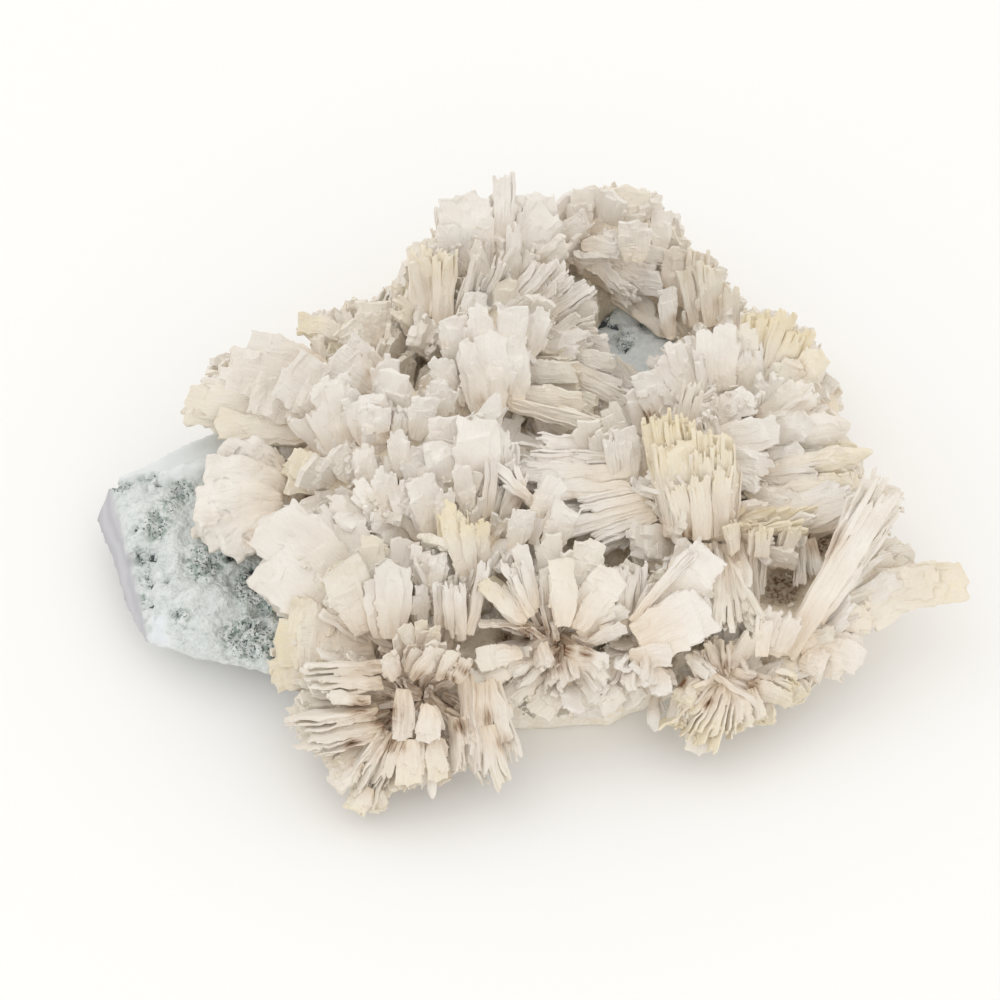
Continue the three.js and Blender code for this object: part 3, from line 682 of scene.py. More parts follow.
def welded(form, voxel, erosion, triangles):
    """Welds a heap of plates in one closed shape of unit size, and returns it in a few finenesses."""
    bmesh.ops.recalc_face_normals(form, faces=form.faces)
    mesh = remeshed(form, voxel)
    points, normals = columns_of(mesh)
    rough = grain(points, 2.4, 1, dice.uniform(0, 50)) + 0.7 * grain(points, 1.1, 1, dice.uniform(0, 50))
    points += normals * (rough * erosion)[:, None]
    mesh.vertices.foreach_set("co", points.astype(np.float32).ravel())
    mesh.calc_loop_triangles()
    heap = linked("heap", mesh)
    thin = heap.modifiers.new("thin", "DECIMATE")
    thin.use_collapse_triangulate = True
    finenesses = []
    for most in triangles:
        thin.ratio = min(most / max(len(mesh.loop_triangles), 1), 1.0)
        bpy.context.view_layer.update()
        made = bpy.data.meshes.new_from_object(heap.evaluated_get(bpy.context.evaluated_depsgraph_get()))
        points, _ = columns_of(made)
        faces = triangles_of(made)
        bpy.data.meshes.remove(made)
        low, high = points.min(0), points.max(0)
        middle, extent = (low + high) / 2, high - low
        points[:, :2] = (points[:, :2] - middle[:2]) / extent[:2]
        points[:, 2] = (points[:, 2] - low[2]) / extent[2]
        finenesses.append((points, faces))
    bpy.data.objects.remove(heap)
    bpy.data.meshes.remove(mesh)
    return finenesses


def slab():
    """A broad plate with lower plates on both faces, each with its own ragged outline."""
    form = bmesh.new()
    jagged_plate(form, 8, 1.5, BOOK_LENGTH, 6, leaning(0, 0, 0), 0.42, 0.6, 0.85, 0.1)
    for side in (-1, 1, -1, 1):
        width = dice.uniform(3, 6.5)
        jagged_plate(form, width, 0.9, BOOK_LENGTH * dice.uniform(0.5, 0.96), 4, leaning(
            swing(0.5) * (8 - width), side * dice.uniform(0.6, 1.0), 0,
            swing(4), side * dice.uniform(-2, 1)), 0.5, 0.6, 0.85, 0.16)
    blocks(form, 5, 3.6, 1.0, (6, 23), (0.8, 1.7), 14)
    return welded(form, BOOK_DETAIL, 0.14, (620, 270))


def leaf_pack():
    """Thin leaves with slits between them, like the pages of an opened book."""
    form = bmesh.new()
    count = dice.choice((3, 4, 4, 5))
    for step in range(count):
        off = step - (count - 1) / 2
        width, thick = dice.uniform(5, 7), dice.uniform(0.8, 1.25)
        length = BOOK_LENGTH * dice.uniform(0.7, 1.0)
        jagged_plate(form, width, thick, length, 5, leaning(
            swing(0.8), off * 1.35, 0, swing(5), -off * dice.uniform(1.5, 4.0)), 0.55, 0.5, 0.75, 0.22)
    blocks(form, 4, 3, 1.5, (6, 20), (0.7, 1.4), 25)
    return welded(form, BOOK_DETAIL, 0.16, (760, 340))


def fluted_pack():
    """Narrow slats side by side, like a fluted column with a castellated end."""
    form = bmesh.new()
    for layer in (-1, 1):
        place = -3.8
        while place < 3.6:
            width = dice.uniform(0.9, 2.4)
            thick, length = dice.uniform(1.2, 2.0), BOOK_LENGTH * dice.uniform(0.82, 1.0)
            jagged_plate(form, width * 1.1, thick, length, 2, leaning(
                place + width / 2, layer * dice.uniform(0.4, 1.0), 0, place * 1.1 + swing(1.5),
                swing(2), swing(20)), 0.75, 0.5, 0.95, 0.08)
            place += width
    return welded(form, BOOK_DETAIL, 0.14, (740, 340))


def feather_pack():
    """A tapering plate with narrow splinters that branch off both its faces, like a feather."""
    form = bmesh.new()
    jagged_plate(form, 6.5, 1.6, BOOK_LENGTH, 7, leaning(0, 0, 0), 0.5, 0.45, 0.45, 0.25)
    for step in range(8):
        side, face = (-1, 1)[step % 2], (-1, 1)[step // 2 % 2]
        start = dice.uniform(0, 0.45) * BOOK_LENGTH
        width, length = dice.uniform(1.8, 3.4), (BOOK_LENGTH - start) * dice.uniform(0.5, 0.9)
        jagged_plate(form, width, 1.1, length, 3, leaning(
            side * dice.uniform(0, 1.4), face * dice.uniform(0.4, 0.9), start, side * dice.uniform(1, 9),
            swing(3)), 0.6, 0.5, 0.4, 0.2)
    return welded(form, BOOK_DETAIL, 0.12, (760, 340))


def blocky_pack():
    """Plates and blocks that grew across each other."""
    form = bmesh.new()
    jagged_plate(form, 7.5, 2.4, BOOK_LENGTH * 0.94, 5, leaning(0, 0, 0), 0.5, 0.5, 0.95, 0.2)
    for _ in range(4):
        width, length = dice.uniform(2.5, 4.5), BOOK_LENGTH * dice.uniform(0.6, 0.98)
        jagged_plate(form, width, 2.0, length, 3, leaning(swing(2.4), swing(1.4), 0, swing(6), swing(4)),
                     0.6, 0.5, 0.9, 0.1)
    blocks(form, 14, 3.6, 1.6, (7, 22.5), (1.3, 2.8), 12, 1.5)
    return welded(form, BOOK_DETAIL, 0.13, (800, 360))


def finger():
    """A smooth blunt rod, a little flattened, with one slat grown along it."""
    form = bmesh.new()
    stretched = Matrix.Diagonal((3.1, 2.4, BOOK_LENGTH * 0.44, 1))
    bmesh.ops.create_uvsphere(form, u_segments=12, v_segments=10, radius=1,
                              matrix=Matrix.Translation((0, 0, BOOK_LENGTH * 0.56)) @ stretched)
    bmesh.ops.create_cone(form, cap_ends=True, segments=12, radius1=1.6, radius2=2.6,
                          depth=BOOK_LENGTH * 0.6, matrix=Matrix.Translation((0, 0, BOOK_LENGTH * 0.3)))
    jagged_plate(form, 3.4, 3.2, BOOK_LENGTH * 0.8, 3, leaning(1.0, 0.9, 0, 2, 1, 15), 0.6, 0.5, 0.8, 0.1)
    return welded(form, 0.45, 0.16, (420, 240))


def spall():
    """A small thick plate with a broken end."""
    form = bmesh.new()
    jagged_plate(form, 6, 1.5, SPALL_LENGTH, 3, leaning(0, 0, 0), 0.55, 0.5, 0.9, 0.22)
    side = dice.choice((-1, 1))
    jagged_plate(form, dice.uniform(2.5, 4.5), 1.3, SPALL_LENGTH * dice.uniform(0.6, 0.95), 2, leaning(
        swing(1.2), side * 0.9, 0, swing(5)), 0.6, 0.5, 0.9, 0.2)
    blocks(form, 2, 2.4, 0.8, (3, 11.5), (1.0, 2.0), 25)
    return welded(form, BOOK_DETAIL, 0.12, (190, 130))


def sliver():
    """A small thin splinter of a plate."""
    form = bmesh.new()
    jagged_plate(form, 2.4, 1.0, SPALL_LENGTH, 2, leaning(0, 0, 0), 0.6, 0.5, 0.8, 0.1)
    length = SPALL_LENGTH * dice.uniform(0.6, 0.9)
    jagged_plate(form, 1.6, 1.0, length, 1, leaning(0.9, 0.4, 0, 4), 0.6, 0.5, 0.8, 0.1)
    return welded(form, BOOK_DETAIL, 0.1, (84, 60))


KINDS = {
    "plate": [slab() for _ in range(11)],
    "leaf": [leaf_pack() for _ in range(9)],
    "slat": [fluted_pack() for _ in range(8)],
    "block": [blocky_pack() for _ in range(8)],
    "feather": [feather_pack() for _ in range(10)],
    "rod": [finger() for _ in range(3)],
    "spall": [spall() for _ in range(16)],
    "sliver": [sliver() for _ in range(10)],
}
# How thick each kind is against its width.
THICKNESS = {
    "feather": 0.4, "plate": 0.34, "leaf": 0.85, "slat": 0.42, "block": 0.62, "rod": 0.8,
    "spall": 0.42, "sliver": 0.6,
}
FINE, COARSE = 0, 1
SHORTEST_BLADE = 3  # mm
LOWEST_TIP = 2.2  # mm over the table
LOWEST_POINT = 1.2 * MM
SPLIT_ANGLE = math.radians(22)  # edges sharper than this stay crisp
laid = []  # each blade of the piece that is growing: points, faces, along, cream, tone, place in it


def turned_about(vector, axis, degrees):
    """A vector turned about an axis."""
    return Matrix.Rotation(math.radians(degrees), 3, axis) @ vector


def broad_side(axis, turn):
    """A blade's own across direction: turn 0 faces the camera, 90 stands on edge to it."""
    across = axis.cross(toward_camera)
    if across.length < 0.05:
        across = axis.cross(Vector((1, 0.2, 0)))
    return turned_about(across.normalized(), axis, turn)


# How far the crust reaches, as seen: across and up the view.
CRUST_REACH = [
    (-70, 19), (-73, 20), (-69, 26), (-68, 33.5), (-44, 34.5), (-42, 36), (-47, 40), (-46, 42), (-34, 46),
    (-26, 47.5), (-22, 53), (-20, 59), (-15.5, 60), (-15, 68), (-2, 70.5), (0, 75), (4, 75.5), (7, 70),
    (14, 69), (19, 72), (30, 72), (36, 70), (40, 65), (40.5, 60), (45, 56.5), (50, 56), (52, 50), (55, 48),
    (57, 44), (61, 44), (66, 43), (72, 38), (75, 31), (73.5, 25), (75, 22), (80, 18), (77, 13), (85, 11.5),
    (81, 7), (83, 2), (88, 6), (93, 4), (94, -3), (88, -10), (95, -10), (96, -14), (106, -15), (108, -19),
    (100, -23), (83, -28), (84, -37), (84, -40.5), (76, -41), (70, -46), (62, -50.5), (54, -54), (46, -59),
    (43, -57), (40, -52.5), (35.5, -54), (32, -49), (23, -50), (21, -52.5), (3, -53), (5, -63), (1, -67.5),
    (-4, -64), (-15, -67), (-24, -67), (-29, -73), (-35, -72.5), (-33, -67), (-40, -67), (-42, -58),
    (-49, -52), (-47, -43), (-54, -41), (-52, -25), (-56, -10), (-60, -12.5), (-70, -9), (-74, -6),
    (-68, 10), (-53, 14), (-62, 15),
]


def in_reach(point):
    """Whether a point shows within the crust's reach."""
    x, y = shown_at(np.array([point[:]]))[0]
    inside = False
    for (x1, y1), (x2, y2) in zip(CRUST_REACH, CRUST_REACH[1:] + CRUST_REACH[:1]):
        if (y1 > y) != (y2 > y) and x < x1 + (y - y1) / (y2 - y1) * (x2 - x1):
            inside = not inside
    return inside


def lay(kind, root, axis, length, width, turn, cream, tone, fineness=FINE, whole=False):
    """Lays one blade of a kind from its root along its axis; length and width are in mm.

    A blade that would pass the crust's reach is shortened, and one that would cross a dark
    hollow is left out, unless it is to stay whole.
    """
    points, faces = dice.choice(KINDS[kind])[fineness]
    across = broad_side(axis, turn + dice.choice((0, 180)))
    facing = axis.cross(across)
    for _ in range(0 if whole else 9):
        end, half = root + axis * (length * 0.94 * MM), across * (0.26 * width * MM)
        if in_reach(end - half) and in_reach(end + half):
            break
        length *= 0.9
    if length < SHORTEST_BLADE:
        return
    if not whole:
        stops = [root + axis * (share * length * MM) for share in (0.5, 0.75, 1.0)]
        passed = shown_at(np.array([stop[:] for stop in stops]))
        if (near(passed * MM, DARK_PLACES) > 0.2).any():
            return
    thick = min(width * THICKNESS[kind], 1.4 + width * 0.5 * THICKNESS[kind])
    thick = max(1.0, thick * dice.uniform(0.85, 1.15))
    flip = dice.choice((-1, 1))
    local = points * (np.array((width * flip, thick, length)) * MM)
    local[:, 1] += swing(0.04) * length * MM * points[:, 2] ** 2
    local[:, 0] += swing(0.05) * length * MM * points[:, 2] ** 2
    placed = local @ np.array([across[:], facing[:], axis[:]]) + np.array(root[:])
    laid.append((placed, faces[:, ::flip], points[:, 2], cream, tone, local / MM + dice.uniform(0, 500)))


def companions(kind, root, axis, length, width, turn, cream, tone, count):
    """Shorter blades that stand beside a main one, and a few that lean off or across it."""
    across = broad_side(axis, turn)
    facing = axis.cross(across)
    if facing.dot(toward_camera) > 0:
        facing.negate()
    flat_on = facing.dot(toward_camera) < -0.5
    for _ in range(count):
        depth = dice.uniform(0.1, 0.5) if flat_on else swing(0.45)
        beside = across * (swing(0.6) * width * MM) + facing * (depth * width * MM)
        own_axis = turned_about(axis, across, swing(9))
        own_axis = turned_about(own_axis, facing, swing(9))
        lay(dice.choice((kind, "spall", "spall")), root + beside, own_axis,
            length * dice.uniform(0.45, 0.9), width * dice.uniform(0.45, 0.85), turn + swing(25),
            cream * 0.8, tone + swing(0.2), COARSE)
    for _ in range(count):
        own_axis = turned_about(axis, broad_side(axis, dice.uniform(0, 180)), dice.uniform(4, 22))
        start = root + axis * (dice.uniform(0.05, 0.5) * length * MM) + facing * (0.15 * width * MM)
        start += across * (dice.choice((-1, 1)) * dice.uniform(0.3, 0.5) * width * MM)
        lay(dice.choice(("spall", "sliver", "sliver")), start, own_axis, length * dice.uniform(0.18, 0.42),
            width * dice.uniform(0.25, 0.5), dice.uniform(0, 180), cream * 0.5, tone + swing(0.2), COARSE)


def wobble(points):
    """Uneven growth: a soft shift of about a quarter of a millimetre at every point."""
    shift = np.zeros_like(points)
    waves = random.Random(77)
    for _ in range(9):
        length = waves.uniform(2.5, 8.0) * MM
        way = Vector((waves.gauss(0, 1), waves.gauss(0, 1), waves.gauss(0, 1))).normalized()
        push = Vector((waves.gauss(0, 1), waves.gauss(0, 1), waves.gauss(0, 1))).normalized()
        phase = points @ np.array(way[:]) / length * 2 * math.pi + waves.uniform(0, 6.3)
        shift += np.outer(np.sin(phase) * 0.13 * MM, np.array(push[:]))
    return shift


def mesh_of(name, points, faces):
    """A mesh from columns of points and triangles."""
    mesh = bpy.data.meshes.new(name)
    mesh.vertices.add(len(points))
    mesh.vertices.foreach_set("co", points.astype(np.float32).ravel())
    mesh.loops.add(len(faces) * 3)
    mesh.loops.foreach_set("vertex_index", faces.astype(np.int32).ravel())
    mesh.polygons.add(len(faces))
    mesh.polygons.foreach_set("loop_start", np.arange(0, len(faces) * 3, 3, dtype=np.int32))
    mesh.update()
    return mesh


def carried_over(points, faces, columns, new_points):
    """The columns' values at the places on the old surface nearest to the new points."""
    surface = BVHTree.FromPolygons(points.tolist(), faces.tolist())
    found = [surface.find_nearest(Vector(p)) for p in new_points]
    places = np.array([place[0][:] for place in found])
    corners = faces[[place[2] for place in found]]
    first, second, third = (points[corners[:, i]] for i in range(3))
    u, v, w = second - first, third - first, places - first
    uu, uv, vv, wu, wv = ((a * b).sum(1) for a, b in ((u, u), (u, v), (v, v), (w, u), (w, v)))
    area = np.maximum(uu * vv - uv * uv, 1e-24)
    b, c = (vv * wu - uv * wv) / area, (uu * wv - uv * wu) / area
    b, c = np.clip(b, 0, 1)[:, None], np.clip(c, 0, 1)[:, None]
    a = 1 - b - c
    return [
        column[corners[:, 0]] * a + column[corners[:, 1]] * b + column[corners[:, 2]] * c
        for column in columns
    ]


def grow_piece(name, seat, stain, node="quartz_blade_crust", reach=(3, 20),
               hollows=(), weld=0, share=0.36):
    """Joins everything laid so far in one piece, its blades welded in steps of weld mm unless that is 0.

    Iron stain fades with distance from the seat, and gathers in hollows: (across, up, radius).
    """
    starts = np.cumsum([0] + [len(blade[0]) for blade in laid])
    points = np.concatenate([blade[0] for blade in laid])
    faces = np.concatenate([blade[1] + start for blade, start in zip(laid, starts)])
    along = np.concatenate([blade[2] for blade in laid])
    cream = np.concatenate([np.full(len(blade[0]), blade[3]) for blade in laid])
    tone = np.concatenate([np.full(len(blade[0]), blade[4]) for blade in laid])
    place = np.concatenate([blade[5] for blade in laid])
    points += wobble(points)
    points[:, 2] = np.maximum(points[:, 2], LOWEST_POINT)
    mesh = mesh_of(name, points, faces)
    joint, grooves = np.zeros(len(points)), np.zeros(len(points))
    if weld:
        mesh = evened(mesh, weld * MM, 1)
        new_points, normals = columns_of(mesh)
        columns = [along[:, None], cream[:, None], tone[:, None], place]
        kept = carried_over(points, faces, columns, new_points)
        along, cream, tone = (column[:, 0] for column in kept[:3])
        place = kept[3]
        edges = np.empty(len(mesh.edges) * 2, np.int32)
        mesh.edges.foreach_get("vertices", edges)
        edges = edges.reshape(-1, 2)
        jump = np.linalg.norm(place[edges[:, 0]] - place[edges[:, 1]], axis=1)
        jump -= np.linalg.norm(new_points[edges[:, 0]] - new_points[edges[:, 1]], axis=1) / MM * 1.5
        joint = np.zeros(len(new_points))
        joint[edges[jump > 0.4].ravel()] = 1
        for _ in range(2):
            wider = joint.copy()
            np.maximum.at(wider, edges[:, 0], 0.8 * joint[edges[:, 1]])
            np.maximum.at(wider, edges[:, 1], 0.8 * joint[edges[:, 0]])
            joint = wider
        drawn_out = place * np.array((1, 1, 0.11))
        grooves = 1 - smooth_step(np.abs(grain(drawn_out, 2.1, 1, 3.0)), 0.0, 0.13)
        grooves *= 1 - joint
        pitted = grain(place * np.array((1, 1, 0.4)), 1.3, 1, 8.0)
        relief = 0.15 - 0.22 * grooves + 0.16 * pitted * (1 - joint)
        points = new_points + normals * (relief * MM)[:, None]
        mesh.vertices.foreach_set("co", points.astype(np.float32).ravel())
    apart = np.linalg.norm(points - np.array(seat[:]), axis=1)
    iron = stain * (1 - smooth_step(apart, reach[0] * MM, reach[1] * MM))
    iron = np.maximum(iron, 0.4 * stain * (1 - smooth_step(along, 0.05, 0.5)))
    inner = 1 - 0.8 * smooth_step(along, 0.5, 0.95)
    shown = shown_at(points) * MM
    iron = np.maximum(iron, np.maximum(near(shown, hollows), 0.6 * near(shown, DARK_PLACES)) * inner)
    # The grooves take a little iron stain, and their tone is darkened as painted shade.
    iron = np.clip(iron + 0.06 * grooves, 0, 1)
    cream = cream * smooth_step(along, 0.2, 0.9)
    store(mesh, "growth", along, cream, iron, np.clip(tone - 0.1 * grooves, 0, 1))
    store_place(mesh, place)
    store(mesh, "joint", joint, joint, joint, joint)
    mesh.shade_smooth()
    if weld:
        mesh = thinned(mesh, share)
    else:
        mesh.set_sharp_from_angle(angle=SPLIT_ANGLE)
    laid.clear()
    shown_piece(name, mesh, drusy_quartz, node)


def shaken(reach):
    """A small random shift, up to reach mm each way."""
    return Vector([swing(reach) * MM for _ in range(3)])


def grow_fans(seat, fans, tone, extra, gather=0.26):
    """Lays the blades of a spray's fans, and returns where their tips are.

    A fan is (kind, first tip, last tip, height, width, turn, count, cream). Its blades start
    about gather of the way from the seat to their tips.
    """
    tips = []
    for kind, first, last, tip_height, width, turn, count, cream in fans:
        for step in range(count):
            share = 0.5 if count == 1 else step / (count - 1)
            tip = spot(
                first[0] + (last[0] - first[0]) * share + swing(0.8),
                first[1] + (last[1] - first[1]) * share + swing(0.8),
                max(tip_height + swing(2), LOWEST_TIP),
            )
            outward = tip - seat
            flattened = Vector((outward.x, outward.y, outward.z * 0.4))
            root = seat + flattened * (gather * dice.uniform(0.4, 1.2))
            root += shaken(1.5)
            axis = tip - root
            length = axis.length / MM * (dice.uniform(0.82, 1.0) if step % 2 else 1.0)
            axis.normalize()
            blade = (kind, root, axis, length, width * dice.uniform(0.88, 1.12), turn + swing(14),
                     cream, tone + swing(0.18))
            lay(*blade)
            companions(*blade, extra)
            tips.append(tip)
    return tips


def lay_singles(singles, tone, extra=1):
    """Lays blades one by one.

    Each is (kind, foot, tip, height of the foot, lean of the tip toward the camera, width, turn,
    cream), with foot and tip across and up the view.
    """
    for kind, foot, tip, height, lean, width, turn, cream in singles:
        root = spot(*foot, height)
        end = spot(*tip, max(height + (tip[1] - foot[1]) * math.cos(SHOW_TILT) + lean, LOWEST_TIP))
        axis = end - root
        length = axis.length / MM
        axis.normalize()
        blade = (kind, root, axis, length, width, turn + swing(8), cream, tone + swing(0.12))
        lay(*blade, whole=True)
        companions(*blade, extra)


def grow_spray(name, fans, singles, stain, tone, extra=1, tuft=16, reach=(3, 20), hollows=(), weld=0):
    """A whole spray, with a tuft of small blades round its seat."""
    across, up, height, _ = SEATS[name]
    seat = spot(across, up, height)
    tips = grow_fans(seat, fans, tone, extra)
    lay_singles(singles, tone)
    for _ in range(tuft):
        tip = dice.choice(tips).lerp(dice.choice(tips), dice.uniform(0.2, 0.8))
        root = seat + shaken(3.5)
        axis = tip - root
        length = max(axis.length / MM * dice.uniform(0.3, 0.7), 4)
        lay(dice.choice(("spall", "sliver")), root, axis.normalized(), length, dice.uniform(1.6, 4.2),
            swing(90), 0.1, tone + swing(0.2))
    grow_piece(name, seat, stain, reach=reach, hollows=hollows, weld=weld)


# The front rosette: thin tan leaves, stood on edge, all round two brown hollows, leaning
# out over the plate's front edge.
grow_spray("front_rosette", [
    ("leaf", (-48, -38), (-51, -48), 19, 8, 50, 6, 0.25),
    ("leaf", (-51, -51), (-46, -60), 14, 8, 42, 6, 0.3),
    ("block", (-43, -62), (-40, -68), 9, 8, 25, 4, 0.4),
    ("block", (-37, -71.5), (-29, -73.5), 5, 7, 40, 3, 0.5),
    ("plate", (-24, -65), (-20, -66), 8, 6, 35, 2, 0.6),
    ("plate", (-14, -65), (-14, -65), 9, 6, 15, 1, 0.5),
    ("leaf", (-8, -61), (-3, -63), 9, 6, 70, 3, 0.2),
    ("leaf", (-1, -65), (2.5, -59), 9, 7, 65, 3, 0.3),
    ("plate", (-24, -30), (-13, -30), 33, 5, 20, 4, 0.15),
    ("leaf", (-42, -35), (-31, -34), 27, 6, 65, 3, 0.15),
    ("plate", (-21, -54), (-16, -54), 18, 4.5, 0, 2, 0.1),
    ("leaf", (-34, -52), (-28, -60), 14, 5, 70, 3, 0.2),
    ("leaf", (-10, -48), (-6, -54), 15, 5, 60, 3, 0.15),
    ("leaf", (-30, -42), (-10, -40), 25, 4, 50, 4, 0.1),
], [
    ("plate", (-22, -43.5), (-22, -55.5), 27, 1, 5.4, 0, 0.15),
    ("plate", (-16.5, -47), (-16.3, -56), 27, 1, 5.6, 0, 0.15),
    ("plate", (-20.5, -55), (-21, -66), 21, 1, 6.5, 14, 0.6),
    ("plate", (-15, -55), (-14.3, -65), 21, 0, 5.5, -16, 0.55),
    ("rod", (-16, -60), (-16, -68.5), 16, 0, 2.5, 0, 0.2),
    ("slat", (-8, -40), (-6.5, -63), 26, 1, 5, 20, 0.1),
    ("slat", (-4.5, -42), (-2.5, -64), 25, 1, 5, 30, 0.15),
    ("leaf", (-2.5, -41), (3.2, -61), 25, 1, 5.5, 25, 0.2),
    ("slat", (-3, -52), (0.8, -67), 20, 1, 4.5, 25, 0.35),
    ("leaf", (-11, -50), (-9.5, -63), 20, 2, 4, 50, 0.2),
    ("leaf", (-26, -38), (-46, -39.5), 26, 2, 5, 70, 0.2),
    ("leaf", (-27, -42), (-44, -43.5), 26, 2, 5, 70, 0.25),
    ("block", (-30, -46), (-41, -45), 25, 2, 5, 60, 0.2),
    ("leaf", (-28, -48.5), (-49.5, -52), 22, 2, 7, 65, 0.2),
    ("leaf", (-27, -52), (-47.5, -57), 20, 2, 7, 60, 0.2),
    ("block", (-20, -41), (-14, -33), 29, 2, 5, 40, 0.2),
    ("block", (-24, -41), (-26, -35), 29, 2, 5, 40, 0.2),
    ("block", (-14, -41), (-10, -33.5), 29, 2, 4, 40, 0.3),
    ("block", (-10, -42), (-8, -36), 28, 2, 4, 30, 0.3),
    ("leaf", (-26, -53), (-35, -66), 19, 1, 5, 60, 0.2),
    ("leaf", (-24, -54), (-30, -71), 19, 0, 4, 60, 0.3),
    ("slat", (-23, -55), (-27, -64), 20, 1, 3.5, 50, 0.4),
    ("block", (-32, -60), (-39, -66), 14, 1, 6, 30, 0.2),
    ("block", (-30, -66), (-34, -72), 10, 0, 6, 20, 0.6),
    ("block", (-28, -64), (-28.5, -72), 10, 0, 5, 20, 0.5),
], stain=0.8, tone=0.5, extra=3, tuft=40, reach=(5, 25), hollows=[
    (-26, -50, 6), (-12, -47, 4), (-18.5, -42, 4.5), (-7.5, -38, 4), (-31, -34, 5), (-24, -56, 4),
    (-32, -48, 4), (-9, -52, 3), (-3.5, -50, 3), (1, -56, 3), (-12, -42, 4), (-34, -56, 3),
])

# The broad fan behind it: big smooth plates that spread to the left.
grow_spray("broad_fan", [
    ("plate", (-53, -4), (-54, -14), 26, 12, 0, 3, 0.1),
    ("plate", (-49, -21), (-51, -39), 20, 12, 8, 4, 0.75),
    ("plate", (-46, -4), (-35, -4), 37, 9, 15, 3, 0.1),
    ("plate", (-39, -16), (-35, -13), 37, 9, 0, 2, 0.5),
    ("plate", (-31, -11), (-23, -9), 41, 8, 10, 3, 0.1),
    ("plate", (-45, -28), (-43, -34), 24, 8, 12, 2, 0.4),
    ("slat", (-40, -24), (-33, -20), 31, 7, 30, 3, 0.2),
], [
    ("plate", (-33, -22), (-54, -3), 27, 2, 16, 0, 0.05),
    ("plate", (-36, -28), (-55, -14), 24, 1, 14, 0, 0.05),
    ("plate", (-30, -30), (-37, -14.5), 27, 3, 12, 0, 0.3),
    ("plate", (-24, -32), (-25, -14), 28, 3, 9, 5, 0.1),
    ("plate", (-30, -22), (-29, -8), 31, 2, 6, 10, 0.5),
    ("block", (-27, -18), (-27, -9), 32, 2, 6, 20, 0.4),
    ("plate", (-40, -33), (-52, -33), 22, 1, 12, 0, 0.85),
    ("plate", (-38, -30), (-49, -26), 24, 1, 10, 0, 0.6),
    ("plate", (-40, -37), (-53, -41), 19, 1, 9, 0, 0.7),
], stain=0.5, tone=0.3)

# Jumbled blocks and upright slats right of the fan.
grow_spray("jumbled_blocks", [
    ("slat", (-20, -11), (-12, -10), 39, 6, 70, 4, 0.1),
    ("slat", (-9, -16), (-5, -15), 36, 5, 70, 3, 0.1),
    ("feather", (-13, -1), (-11, -2), 40, 5, 30, 2, 0.8),
    ("slat", (0, -11), (0, -11), 37, 5, 60, 2, 0.1),
    ("block", (-20, -15), (-10, -16), 36, 7, 30, 3, 0.1),
], [
    ("block", (-16.5, -22), (-16, -10.5), 31, 3, 9, 10, 0.05),
    ("slat", (-13.5, -29), (-14, -18.5), 29, 3, 4, 20, 0.05),
    ("slat", (-11.3, -30), (-12, -19), 30, 3, 2.6, 10, 0.05),
    ("plate", (-17.5, -29), (-18, -19), 28, 2, 3.5, 30, 0.1),
    ("slat", (-8.5, -32), (-9.5, -19), 28, 3, 3.5, 40, 0.05),
    ("slat", (-7, -31), (-3, -13.5), 28, 3, 3.5, 30, 0.05),
    ("plate", (-19, -36), (-22, -28.5), 27, 3, 4, 10, 0.4),
    ("plate", (-18, -36), (-18.5, -27.5), 27, 3, 3, 20, 0.5),
    ("plate", (-16.5, -36), (-14.5, -29), 27, 3, 3.5, 20, 0.5),
    ("feather", (-8.5, -18), (-12.5, 0), 35, 4, 5, 12, 0.9),
    ("feather", (-6, -17), (-8, -4), 36, 4, 4, 10, 0.85),
    ("feather", (-5, -16), (-4.5, -4), 35, 4, 4.5, 15, 0.9),
], stain=0.5, tone=0.55)

